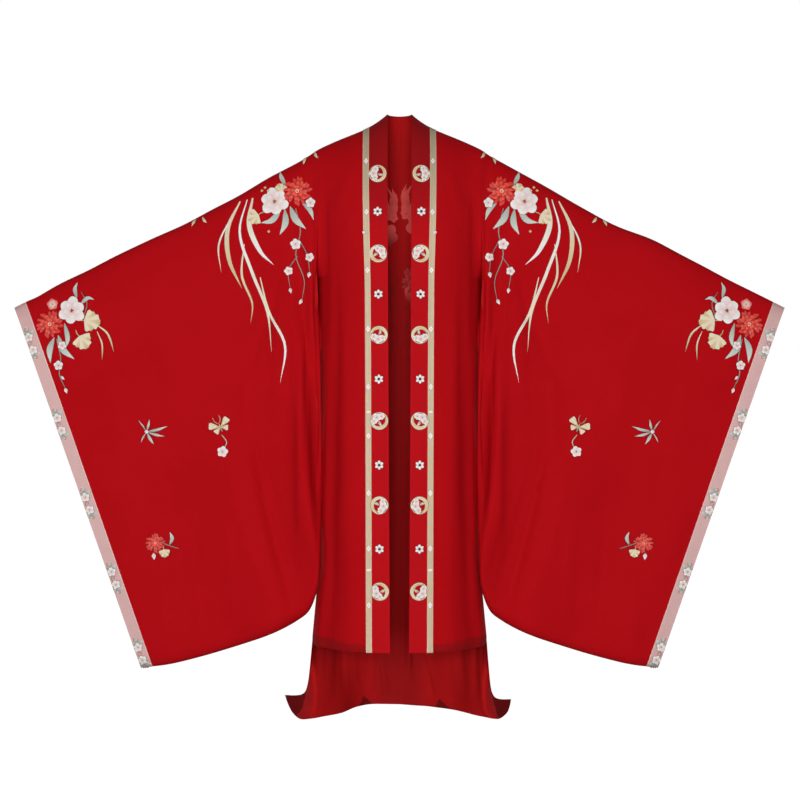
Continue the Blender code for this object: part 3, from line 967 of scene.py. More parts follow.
@dataclass
class Panel:
    """One cut piece of cloth on its solid's form; its edges are the first and last column, then row."""

    form: RobeForm
    side: Side
    finish: Any
    kind: str = ""
    solids: tuple[str, ...] = ()
    slot: str = "robe_satin"
    column_runs: Runs = ()
    row_runs: Runs = ()
    outwards: int = 1
    wall: float = 0.001
    seam_depth: float = 0.0007
    seam_width: float = 0.006
    hem_width: float = 0.012
    hem_depth: float = 0.0005
    ripple: float = 0.001
    ripple_fades: float = 0.04
    creases: tuple[Crease, ...] = ()
    sewn: Edges = (0.0, 0.0, 0.0, 0.0)
    hemmed: bool = False
    roll: float = 0.0
    roll_width: float = 0.018
    flat: tuple[float, float] = (0.0, 0.0)
    area: float = 0.0
    piece: Any = None

    # Small waves of the cloth: radians a metre across and down, and phase
    ripples = ((23.0, 9.0, 0.3), (-13.0, 17.0, 1.9), (31.0, -7.0, 4.1), (9.0, 27.0, 2.6), (-37.0, 21.0, 5.2))

    @property
    def name(self) -> str:
        """The piece's name."""
        return f"{self.kind}_cloth_{self.side.word}"

    @property
    def nodes(self) -> tuple[str, ...]:
        """The solids that the piece stands for."""
        return tuple(f"{solid}_{self.side.word}" for solid in self.solids or (self.kind,))

    def places(self) -> tuple[Array, Array]:
        """Columns and rows at which the form is read."""
        return joined(self.column_runs), joined(self.row_runs)

    def surface(self, columns: Array, rows: Array) -> Array:
        """Points of the smooth form at columns and rows."""
        raise NotImplementedError

    def relief(self, smooth: Array, edges: Array) -> Array:
        """How far creases, ripples, seams and the hem move the cloth out.

        Args:
            smooth: Points of the smooth form.
            edges: Distances from the first and last column and the first and last row.

        Returns:
            Distance along the normal for each point.
        """
        out = np.abs(smooth[..., 0])
        height = smooth[..., 2]
        raised = creases_out(self.creases, out, height)
        for number, (cross, down, phase) in enumerate(self.ripples):
            shift = phase + 0.7 * self.side.value
            raised += self.ripple / (1 + 0.4 * number) * np.sin(cross * out + down * height + shift)
        raised *= ease(edges.min(axis=0) / self.ripple_fades)
        for distance, drawn in zip(edges, self.sewn):
            raised -= drawn * self.seam_depth * (1.0 - ease(distance / self.seam_width))
        if self.hemmed:
            raised -= self.hem_depth * bump(edges[3] - self.hem_width, 0.0035)
        raised -= self.roll * np.clip(1.0 - edges[3] / self.roll_width, 0.0, 1.0) ** 2
        return raised

    def turned(self, columns: Array, rows: Array) -> Array:
        """How far the reverse takes the maroon of a corner's underside and of painted shade, from 0 to 1."""
        return np.zeros(np.broadcast(columns, rows).shape)

    def dulled(self, columns: Array, rows: Array) -> Array:
        """How much painted shade darkens the outer face, from 0 to 1."""
        return np.zeros(np.broadcast(columns, rows).shape)

    def mark_reverse(self, piece: Piece, columns: Array, rows: Array) -> None:
        """Marks inner faces with 1, and up to 2 for a corner's underside and painted shade, and outer ones
        below 0 for painted shade.

        Args:
            piece: The cloth, with its thickness.
            columns: The columns at which the form was read.
            rows: The rows at which it was read.
        """
        middles = (0.5 * (columns[1:] + columns[:-1])[None, :], 0.5 * (rows[1:] + rows[:-1])[:, None])
        inner = 1.0 + self.turned(*middles).ravel()
        marks = np.zeros(len(piece.data.polygons), dtype=np.float32)
        marks[:len(inner)] = -self.dulled(*middles).ravel()
        marks[len(inner):2 * len(inner)] = inner
        piece.data.attributes.new("reverse", "FLOAT", "FACE").data.foreach_set("value", marks)

    def build(self) -> None:
        """Makes the cloth, its thickness and its flat map."""
        turn = self.outwards * self.side.value
        columns, rows = self.places()
        smooth = self.surface(columns[None, :], rows[:, None])
        steps_across = np.linalg.norm(np.diff(smooth, axis=1), axis=-1)
        steps_down = np.linalg.norm(np.diff(smooth, axis=0), axis=-1)
        across = np.pad(np.cumsum(steps_across, axis=1), ((0, 0), (1, 0)))
        down = np.pad(np.cumsum(steps_down, axis=0), ((1, 0), (0, 0)))
        edges = np.stack((across, across[:, -1:] - across, down, down[-1:] - down))
        normal = np.cross(np.gradient(smooth, axis=1), np.gradient(smooth, axis=0)) * turn
        normal /= np.maximum(np.linalg.norm(normal, axis=-1, keepdims=True), 1e-12)
        points = smooth + normal * self.relief(smooth, edges)[..., None]
        self.flat = self.laid_out(smooth, across, down)
        diagonals = smooth[1:, 1:] - smooth[:-1, :-1], smooth[1:, :-1] - smooth[:-1, 1:]
        cells = 0.5 * np.linalg.norm(np.cross(*diagonals), axis=-1)
        self.area = float(min(cells.sum(), self.flat[0] * self.flat[1]))
        index = np.arange(points[..., 0].size).reshape(points.shape[:2])
        corners = (index[:-1, :-1], index[:-1, 1:], index[1:, 1:], index[1:, :-1])
        quads = np.stack(corners, axis=-1).reshape(-1, 4)[:, ::turn]
        flat = np.stack((across, down), axis=-1).reshape(-1, 2)
        piece = Workroom.mesh_piece(self.name, points.reshape(-1, 3), quads, flat)
        self.close(piece)
        Workroom.thicken(piece, self.wall, 0.0)
        self.mark_reverse(piece, columns, rows)
        Workroom.carry(piece, self.slot, self.finish)
        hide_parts(*self.nodes)
        self.piece = piece

    def laid_out(self, smooth: Array, across: Array, down: Array) -> tuple[float, float]:
        """Width and length of the cut laid flat: its longest row and its longest column.

        Args:
            smooth: Points of the smooth form.
            across: For each point, the distance along its row.
            down: For each point, the distance along its column.

        Returns:
            The width and the length, in metres.
        """
        return float(across[:, -1].max()), float(down[-1].max())

    def close(self, piece: Piece) -> None:
        """Joins edges that close on each other, on a tube."""


@dataclass
class Front(Panel):
    """A front, from the shoulder to its hem."""

    kind: str = "front"
    column_runs: Runs = ((0.0, 0.02, 2), (0.02, 0.97, 30), (0.97, 1.0, 3))
    row_runs: Runs = ((0.0, 1.0, 56), (1.0, 1.978, 130), (1.978, 2.0, 9))
    outwards: int = -1
    sewn: Edges = (0.0, 0.2, 1.0, 0.0)
    hemmed: bool = True
    roll: float = 0.004
    creases: tuple[Crease, ...] = (
        Crease((0.185, -0.16), (0.192, -0.62), 0.022, -0.0035),
        Crease((0.16, -0.34), (0.166, -1.1), 0.026, -0.003, 0.006),
        Crease((0.135, -0.42), (0.138, -1.2), 0.03, 0.0028),
        Crease((0.192, -0.5), (0.196, -1.22), 0.016, -0.0026),
        Crease((0.175, -1.02), (0.19, -1.28), 0.018, 0.0022),
        Crease((0.12, -0.1), (0.2, -0.3), 0.03, 0.002, 0.01),
    )

    def dulled(self, columns: Array, rows: Array) -> Array:
        """Painted shade on the hem's strip, where the cloth lies double and rolls under."""
        return 0.52 * ease((rows - 1.974 + 0.012 * columns) / 0.01) * np.ones_like(columns)

    def surface(self, columns: Array, rows: Array) -> Array:
        """Points of the smooth form at columns and rows."""
        return self.form.front_point(self.side.value, columns, rows)


@dataclass
class Back(Panel):
    """A back, from the neck seam and the shoulder to the hem that lies on the floor."""

    kind: str = "back"
    column_runs: Runs = (
        (0.0, 0.02, 2),
        (0.02, RobeForm.neck_share, 34),
        (RobeForm.neck_share, 0.97, 54),
        (0.97, 1.0, 4),
    )
    row_runs: Runs = ((0.0, 1.0, 38), (1.0, 2.0, 84), (2.0, 2.93, 42), (2.93, 3.0, 6))
    sewn: Edges = (1.0, 1.0, 1.0, 0.0)
    hemmed: bool = True
    ripple: float = 0.0014
    creases: tuple[Crease, ...] = (
        Crease((0.06, -0.2), (0.05, -1.3), 0.02, 0.003, 0.004),
        Crease((0.11, -0.25), (0.12, -1.35), 0.024, -0.0035),
        Crease((0.165, -0.4), (0.175, -1.4), 0.02, 0.003),
        Crease((0.19, -0.45), (0.205, -1.44), 0.014, -0.0028),
        Crease((0.05, -1.1), (0.075, -1.49), 0.016, -0.004),
        Crease((0.14, -1.0), (0.165, -1.48), 0.016, 0.0034),
        Crease((0.09, -0.06), (0.17, -0.36), 0.034, 0.0022, 0.012),
    )

    # Folds that the train keeps between the front hem and its own, one set for each side
    train_folds = {
        Side.LEFT: (
            Crease((0.193, -1.22), (0.198, -1.49), 0.014, 0.004),
            Crease((0.218, -1.24), (0.226, -1.47), 0.013, -0.0032),
            Crease((0.062, -1.36), (0.088, -1.49), 0.013, 0.005),
            Crease((0.02, -1.18), (0.022, -1.44), 0.014, 0.019),
            Crease((0.15, -1.26), (0.146, -1.49), 0.022, -0.0022),
        ),
        Side.RIGHT: (
            Crease((0.208, -1.22), (0.216, -1.47), 0.015, 0.0045),
            Crease((0.18, -1.26), (0.184, -1.48), 0.018, -0.0015),
            Crease((0.15, -1.22), (0.146, -1.48), 0.012, 0.003),
            Crease((0.05, -1.38), (0.034, -1.49), 0.016, -0.0035),
            Crease((0.11, -1.3), (0.096, -1.5), 0.02, 0.0018),
        ),
    }
    # Where the corner's line starts at the side edge and where it meets the hem, as column, row and column
    corners = {Side.LEFT: (0.983, 2.717, 0.863), Side.RIGHT: (0.985, 2.712, 0.895)}
    # Painted shadow in the mouths of two small folds at the hem: column and row of the top, and the columns at
    # the hem
    pockets = {Side.LEFT: (0.372, 2.71, 0.345, 0.53), Side.RIGHT: (0.33, 2.7, 0.212, 0.395)}

    def __post_init__(self) -> None:
        """Adds the folds of this side's train to the back's creases."""
        self.creases = self.train_folds[self.side] + self.creases

    def turned(self, columns: Array, rows: Array) -> Array:
        """The corner's underside, the painted shadow in the hem's small fold mouths, and painted shade on the
        reverse.
        """
        # Maroon on the corner's underside, partly its real reverse and partly painted shade; painted shadow in
        # the hem's small fold mouths; painted shade on the reverse, darker lower down and kept on the train
        # only near the middle seam.
        start, top, at_hem = self.corners[self.side]
        corner = columns > mix(start, at_hem, (rows - top) / (3.0 - top))
        middle, top, first, last = self.pockets[self.side]
        down = (rows - top) / (3.0 - top)
        fold_mouth_shadow = (down > 0.0) & (columns > mix(middle, first, down)) & (columns < mix(middle, last, down))
        train = ease((rows - 2.0) / 0.3) * ease((columns - 0.1) / 0.25)
        painted_inside_shade = 0.32 * ease((rows - 0.5) / 0.45) + 0.16 * ease((rows - 1.9) / 0.3)
        return np.where(corner & (rows > 2.6) | fold_mouth_shadow, 1.0, painted_inside_shade * (1.0 - train))

    def surface(self, columns: Array, rows: Array) -> Array:
        """Points of the smooth form at columns and rows."""
        return self.form.back_point(self.side.value, columns, rows)


@dataclass
class Sleeve(Panel):
    """A very wide sleeve: one cloth that runs from its lower seam up the back, over the arm and down."""

    kind: str = "sleeve"
    solids: tuple[str, ...] = ("sleeve_front", "sleeve_back")
    column_runs: Runs = (
        (0.0, 0.012, 3),
        (0.012, CUFF_START - 0.01, 84),
        (CUFF_START - 0.01, CUFF_START, 2),
    )
    outwards: int = -1
    sewn: Edges = (0.2, 0.0, 1.0, 1.0)
    ripple: float = 0.0013
    draw_in: float = 0.24
    tuck: float = 0.0045
    row_steps: int = 124
    creases: tuple[Crease, ...] = (
        Crease((0.248, -0.46), (0.25, -1.12), 0.022, 0.0068),
        Crease((0.28, -0.4), (0.284, -0.96), 0.02, -0.0032, 0.004),
        Crease((0.31, -0.36), (0.312, -0.84), 0.022, 0.0024),
        Crease((0.206, -0.34), (0.206, -1.12), 0.03, -0.0115),
        Crease((0.372, -0.76), (0.262, -1.24), 0.02, -0.01, -0.012),
        Crease((0.348, -0.78), (0.242, -1.225), 0.03, -0.0075, -0.012),
        Crease((0.316, -0.8), (0.222, -1.2), 0.04, -0.0035, -0.01),
        Crease((0.43, -0.84), (0.31, -1.24), 0.034, 0.003, -0.016),
        Crease((0.305, -0.36), (0.352, -0.56), 0.024, -0.0046, 0.01),
        Crease((0.34, -0.46), (0.41, -0.66), 0.026, -0.0036, 0.012),
        Crease((0.38, -0.52), (0.4, -0.86), 0.022, 0.0026),
        Crease((0.52, -0.98), (0.5, -1.33), 0.024, -0.0034),
        Crease((0.59, -1.05), (0.6, -1.36), 0.026, 0.003),
        Crease((0.44, -0.96), (0.42, -1.31), 0.022, 0.0026),
        Crease((0.64, -0.46), (0.56, -0.8), 0.05, 0.0026, 0.02),
        Crease((0.72, -0.6), (0.65, -1.1), 0.045, -0.0024, 0.02),
        Crease((0.88, -0.62), (0.82, -0.7), 0.016, -0.0026, 0.004),
        Crease((0.905, -0.58), (0.85, -0.8), 0.03, 0.0022, 0.01),
        Crease((0.3, -0.115), (0.26, -0.3), 0.022, -0.0024, -0.008),
    )

    def places(self) -> tuple[Array, Array]:
        """Columns along the sleeve, and rows from its lower seam up the back and down the front."""
        step = even(0.0, 1.0, self.row_steps)
        way = mix(step, 0.5 - 0.5 * np.cos(np.pi * step), 0.5)
        half_turn = np.arccos(1.0 - 2.0 * way) / (2.0 * np.pi)
        return joined(self.column_runs), np.concatenate((-half_turn[::-1], half_turn[1:]))

    def surface(self, columns: Array, rows: Array) -> Array:
        """Points of the smooth form at columns and rows."""
        around = np.where(rows < 0.0, 1.0 + rows, rows)
        around = np.where(rows <= -0.5, 0.5, around)
        points = self.form.sleeve_point(self.side.value, columns, around)
        fullness = -self.form.sleeve_point(self.side.value, columns, np.minimum(around, 1.0 - around))[..., 1]
        way = 0.5 * (1.0 - np.cos(2.0 * np.pi * around))
        beside_body = ease((columns - 0.02) / 0.04) * (1.0 - ease((columns - 0.34) / 0.16))
        points[..., 0] *= 1.0 - self.draw_in * fullness * ease((columns - 0.5) / 0.5)
        points[..., 0] -= self.side.value * self.tuck * beside_body * way**12
        return points

    def laid_out(self, smooth: Array, across: Array, down: Array) -> tuple[float, float]:
        """Width of the cut along its fold line, and its length all round, both leaves opened out."""
        fold = smooth[len(smooth) // 2]
        along = (fold[-1] - fold[0]) * (1.0, 0.0, 1.0)
        along /= np.linalg.norm(along)
        square_to_it = np.array((-along[2], 0.0, along[0]))
        return float(np.ptp(smooth @ along)), float(max(2.0 * np.ptp(smooth @ square_to_it), down[-1].max()))

    def close(self, piece: Piece) -> None:
        """Joins the lower seam."""
        bm = bmesh.new()
        bm.from_mesh(piece.data)
        bmesh.ops.remove_doubles(bm, verts=bm.verts, dist=0.00002)
        bm.to_mesh(piece.data)
        bm.free()


@dataclass
class Cuff(Sleeve):
    """The woven border band round the cuff opening."""

    kind: str = "cuff"
    solids: tuple[str, ...] = ("cuff",)
    slot: str = "cuff_brocade"
    column_runs: Runs = ((CUFF_START, CUFF_START + 0.0025, 2), (CUFF_START + 0.0025, 1.0, 4))
    wall: float = 0.0014
    creases: tuple[Crease, ...] = ()
    ripple: float = 0.0
    sewn: Edges = (1.0, 0.0, 0.0, 0.0)

    def laid_out(self, smooth: Array, across: Array, down: Array) -> tuple[float, float]:
        """Width and length of the band laid straight."""
        return Panel.laid_out(self, smooth, across, down)


@dataclass
class Collar(Panel):
    """The straight band from the front hem up and round the back of the neck."""

    kind: str = "collar"
    slot: str = "band_satin"
    column_runs: Runs = ((0.0, 0.06, 3), (0.06, 1.0, 9))
    row_runs: Runs = ((2.0, 1.99, 3), (1.99, 1.0, 120), (1.0, 0.0, 56), (0.0, -1.0, 30))
    wall: float = 0.0014
    ripple: float = 0.0004
    ripple_fades: float = 0.02
    sewn: Edges = (1.0, 0.0, 1.0, 1.0)
    seam_depth: float = 0.0004
    seam_width: float = 0.0035

    def dulled(self, columns: Array, rows: Array) -> Array:
        """Painted shade on the band, where it turns from the chest to the shoulder and the neck."""
        return 0.58 * (1.0 - ease((np.abs(rows) - 0.34) / 0.34)) * np.ones_like(columns)

    def surface(self, columns: Array, rows: Array) -> Array:
        """Points of the smooth form at columns and rows."""
        columns, rows = np.broadcast_arrays(columns, rows)
        return self.form.collar_point(self.side.value, columns, rows)


@dataclass
class Braid(Collar):
    """The gold braid laid on the seam side of the collar band."""

    kind: str = "braid"
    slot: str = "gold_braid"
    column_runs: Runs = ((1.0 - RobeForm.braid_share, 1.0, 14),)
    row_runs: Runs = ((2.0, 1.0, 160), (1.0, 0.0, 80), (0.0, -1.0, 32))
    wall: float = 0.0006
    lies_over: float = 0.0011
    rib: float = 0.0005

    def relief(self, smooth: Array, edges: Array) -> Array:
        """Two corded edges and a ribbed middle, above the band."""
        share = edges[0] / (edges[0] + edges[1])
        ribs = bump(share - 0.07, 0.1) + bump(share - 0.93, 0.1)
        ribs += 0.55 * bump(share - 0.33, 0.16) + 0.55 * bump(share - 0.67, 0.16)
        return self.lies_over + self.rib * ribs


class Silks(Enum):
    """Colours of the embroidery silks, in linear light."""

    WHITE = (0.88, 0.85, 0.83)
    BLUSH = (0.8, 0.61, 0.58)
    CORAL = (0.78, 0.046, 0.032)
    FLAME = (0.88, 0.11, 0.07)
    CRIMSON = (0.44, 0.011, 0.012)
    CREAM = (0.8, 0.69, 0.5)
    GOLD = (0.66, 0.49, 0.26)
    SAGE = (0.4, 0.45, 0.4)
    MIST = (0.62, 0.66, 0.6)
    TEAL = (0.11, 0.29, 0.26)
    TWIG = (0.33, 0.28, 0.24)
    TAN = (0.42, 0.25, 0.19)
    WINE = (0.08, 0.004, 0.005)


Tone = tuple[Silks, Silks]
GREEN: Tone = (Silks.SAGE, Silks.MIST)
STRAW: Tone = (Silks.CREAM, Silks.GOLD)
GILT: Tone = (Silks.GOLD, Silks.CREAM)
MILK: Tone = (Silks.WHITE, Silks.CREAM)


class Shape(Enum):
    """Outlines of stitched areas: half width at even places from root to tip."""

    ROUND = (0.22, 0.55, 0.8, 0.95, 1.0, 0.96, 0.82, 0.6, 0.22)
    LEAF = (0.1, 0.48, 0.78, 0.96, 1.0, 0.88, 0.62, 0.34, 0.05)
    SLENDER = (0.3, 0.5, 0.66, 0.8, 0.92, 1.0, 0.94, 0.72, 0.12)
    GRASS = (0.3, 0.55, 0.8, 0.96, 1.0, 0.92, 0.74, 0.42, 0.04)
    STEM = (0.75, 0.95, 1.0, 1.0, 1.0, 1.0, 0.95, 0.85, 0.45)
    WEDGE = (0.1, 0.22, 0.36, 0.5, 0.65, 0.8, 0.93, 1.0, 0.78)
    DROP = (0.3, 0.7, 0.95, 1.0, 0.92, 0.74, 0.5, 0.28, 0.04)


@dataclass
class Template:
    """A stitched area modelled once: along, across and up, for copies that follow their own line."""

    shape: Shape
    stations: int = 9
    lanes: int = 5
    grid: Array = field(init=False)
    faces: Array = field(init=False)

    def __post_init__(self) -> None:
        """Shapes a grid: each cross row is scaled to its width and its middle is drawn up."""
        along, across = self.stations - 1, self.lanes - 1
        bpy.ops.mesh.primitive_grid_add(x_subdivisions=along, y_subdivisions=across, size=1.0)
        piece = bpy.context.active_object
        Workroom.select_only(piece)
        bpy.ops.object.mode_set(mode="EDIT")
        places = np.linspace(0.0, 1.0, len(self.shape.value))
        for station in range(self.stations):
            middle = station / along - 0.5
            width = float(np.interp(middle + 0.5, places, self.shape.value))
            size, centre = (1.0, width, 1.0), (middle, 0.0, 0.0)
            Workroom.resize_where(piece, lambda place: abs(place.x - middle) < 0.001, size, centre)
        bpy.ops.object.mode_set(mode="OBJECT")
        points, self.faces = Workroom.take(piece)
        points[:, 0] += 0.5
        points[:, 1] *= 2.0
        widths = np.interp(points[:, 0], places, self.shape.value)
        lane = points[:, 1] / np.maximum(widths, 0.01)
        points[:, 2] = (1.0 - lane**2) * np.sqrt(widths) * ease(points[:, 0] / 0.15 + 0.25)
        self.grid = points


def curve_through(points: Line, shares: Array) -> tuple[Array, Array, float]:
    """A smooth line through a few points.

    Args:
        points: Two or more points, as distance out and height.
        shares: Places along the line, from 0 to 1.

    Returns:
        The line's points and its unit normals at those places, and its length.
    """
    knots = np.array(points, dtype=float)
    chords = np.linalg.norm(np.diff(knots, axis=0), axis=1)
    table = [(start, *knot) for start, knot in zip(np.concatenate(([0.0], np.cumsum(chords))), knots)]
    length = float(chords.sum())
    fine = np.linspace(0.0, length, 65)
    if len(table) > 2:
        line = read(table, fine)
    else:
        line = [np.interp(fine, (0.0, length), ends) for ends in knots.T]
    where = shares * length
    place = np.stack([np.interp(where, fine, values) for values in line], axis=-1)
    slope = np.stack([np.interp(where, fine, np.gradient(values)) for values in line], axis=-1)
    slope /= np.maximum(np.linalg.norm(slope, axis=-1, keepdims=True), 1e-9)
    return place, np.stack((-slope[:, 1], slope[:, 0]), axis=-1), length


def spot_at(at: Spot, angle: float, reach: float) -> Spot:
    """The place at a distance from a centre, at an angle in degrees, 0 outwards and 90 up."""
    turn = math.radians(angle)
    return at[0] + reach * math.cos(turn), at[1] + reach * math.sin(turn)


def ray(at: Spot, angle: float, start: float, length: float, bend: float = 0.0) -> list[Spot]:
    """Three points of a slightly bent line that leaves a centre at an angle.

    Args:
        at: The centre.
        angle: Direction in degrees, 0 outwards and 90 up.
        start: How far from the centre the line starts.
        length: Its length.
        bend: How far its middle lies aside, as a share of the length.

    Returns:
        The start, the middle and the end.
    """
    middle = spot_at(at, angle, start + 0.5 * length)
    aside = spot_at(middle, angle + 90.0, bend * length)
    return [spot_at(at, angle, start), aside, spot_at(at, angle, start + length)]


class Fill(NamedTuple):
    """How an area is stitched: how far its middle stands up, its rows along and across, and its edge."""

    puff: float
    stations: int
    lanes: int
    edged: bool = True


BROAD = Fill(0.0007, 9, 5)
NARROW = Fill(0.0007, 7, 3)
SLIM = Fill(0.0006, 7, 3)
BARE = Fill(0.0005, 7, 3, False)


@dataclass
class Needle:
    """Lays stitched areas on cloth: each is drawn flat, as seen straight from the front or back."""

    name: str
    side: Side
    facing: Facing
    thread: float = 0.0003
    rests: float = 0.00055
    layer: float = 0.000012
    outline: float = 0.0007
    under: float = 0.0002
    seam_gap: float = 0.0008
    fading: float = 0.06
    laid: list[tuple[Array, ...]] = field(default_factory=list)
    count: int = 0
    templates = {}
    # The reverse in linear light: where no thread shows, and where thread shows low down and at the top
    reverse_cloth = np.array((0.3, 0.008, 0.009))
    reverse_low = np.array((0.31, 0.008, 0.009))
    reverse_high = np.array((0.9, 0.112, 0.1))
    # How far down the reverse has lost its thread's light, and how much it shows at most
    reverse_fades = {Side.RIGHT: (0.3, 1.0), Side.LEFT: (0.45, 0.85)}

    @classmethod
    def template(cls, shape: Shape, stations: int, lanes: int) -> Template:
        """The template of a shape, modelled the first time that it is asked for."""
        key = (shape, stations, lanes)
        if key not in cls.templates:
            cls.templates[key] = Template(shape, stations, lanes)
        return cls.templates[key]

    def area(self, line: Line, width: float, shape: Shape, tone: Tone, fill: Fill) -> None:
        """Stitches one area, over a slightly larger dark copy that shows as a thin dark edge round it where it
        is edged.

        Args:
            line: Points of its middle line, from root to tip.
            width: Its full width where it is widest.
            shape: Its outline.
            tone: Silks at its root and at its tip.
            fill: How it is stitched.
        """
        base = self.count * self.layer
        if fill.edged and self.facing is not Facing.INSIDE:
            under = self.template(shape, fill.stations, 3)
            wide = width + 2.0 * self.outline
            self.lay(under, line, wide, (Silks.WINE, Silks.WINE), base - self.under, 0.0, self.outline)
        self.lay(self.template(shape, fill.stations, fill.lanes), line, width, tone, base, fill.puff)
        self.count += 1

    def lay(
        self,
        template: Template,
        line: Line,
        width: float,
        tone: Tone,
        base: float,
        puff: float,
        overhang: float = 0.0,
    ) -> None:
        """Adds one copy of a template along a line.

        Args:
            template: The shaped area.
            line: Points of its middle line, from root to tip.
            width: Its full width.
            tone: Silks at its root and at its tip.
            base: Height of its edge above the stitching's own level.
            puff: How far its middle stands up.
            overhang: How far it reaches past both ends of the line.
        """
        grid = template.grid
        place, aside, length = curve_through(line, grid[:, 0])
        stretch = 1.0 + 2.0 * overhang / max(length, 1e-6)
        along = place + (place - place.mean(axis=0)) * (stretch - 1.0)
        spots = along + aside * (grid[:, 1] * 0.5 * width)[:, None]
        faces = template.faces + sum(len(area[0]) for area in self.laid)
        flat = np.stack((grid[:, 0] * length, grid[:, 1] * 0.5 * width), axis=-1)
        root, tip = (np.array(silk.value) for silk in tone)
        shade = mix(root, tip, ease(grid[:, :1] * 1.2 - 0.1))
        if self.facing is Facing.INSIDE:
            shade = self.from_behind(shade, spots)
        self.laid.append((spots, base + puff * grid[:, 2], faces, flat, shade))

    def from_behind(self, shade: Array, spots: Array) -> Array:
        """What the reverse of silks shows at their places: the pale ones most, and less lower down."""
        light = shade @ np.array((0.3, 0.5, 0.2))
        low, most = self.reverse_fades[self.side]
        bright = ease((spots[:, 1:] + low) / self.fading) * most
        thread = mix(self.reverse_low, self.reverse_high, bright)
        return mix(self.reverse_cloth, thread, ease(light[:, None] * 1.6))

    def knot(self, at: Spot, radius: float, silk: Silks) -> None:
        """A small raised knot."""
        fill = Fill(radius * 0.6, 5, 3, False)
        self.area(ray(at, 0.0, -radius, 2.0 * radius), 2.0 * radius, Shape.ROUND, (silk, silk), fill)

    def finish(self, ground: BVHTree, material: Paint, slot: str) -> Piece:
        """Drops every stitched point onto the cloth and makes one piece of them.

        Args:
            ground: Search tree over the cloth.
            material: The silk.
            slot: The record's slot of the cloth that carries it; not used.

        Returns:
            The embroidery as one object.
        """
        spots, lifts, quads, flat, shades = (np.concatenate(parts) for parts in zip(*self.laid))
        inwards = -1.0 if self.facing is Facing.BACK else 1.0
        look = Vector((0.0, inwards, 0.0))
        start = float(self.facing.value)
        points = np.empty((len(spots), 3))
        for number, (out, height) in enumerate(spots):
            origin = Vector((self.side.value * max(out, self.seam_gap), start, height))
            hit, normal, _, _ = ground.ray_cast(origin, look)
            if hit is None:
                hit, normal, _, _ = ground.find_nearest(origin + look * (abs(start) - 0.02))
            if normal.dot(look) > 0.0:
                normal = -normal
            points[number] = hit + normal * (self.rests + lifts[number])
        if self.side.value * inwards < 0.0:
            quads = quads[:, ::-1]
        piece = Workroom.mesh_piece(self.name, points, quads, flat)
        silk = piece.data.color_attributes.new("silk", "FLOAT_COLOR", "POINT")
        shades = np.pad(shades, ((0, 0), (0, 1)), constant_values=1.0)
        silk.data.foreach_set("color", shades.astype(np.float32).ravel())
        Workroom.thicken(piece, self.thread, -1.0)
        Workroom.carry(piece, slot, material)
        return piece


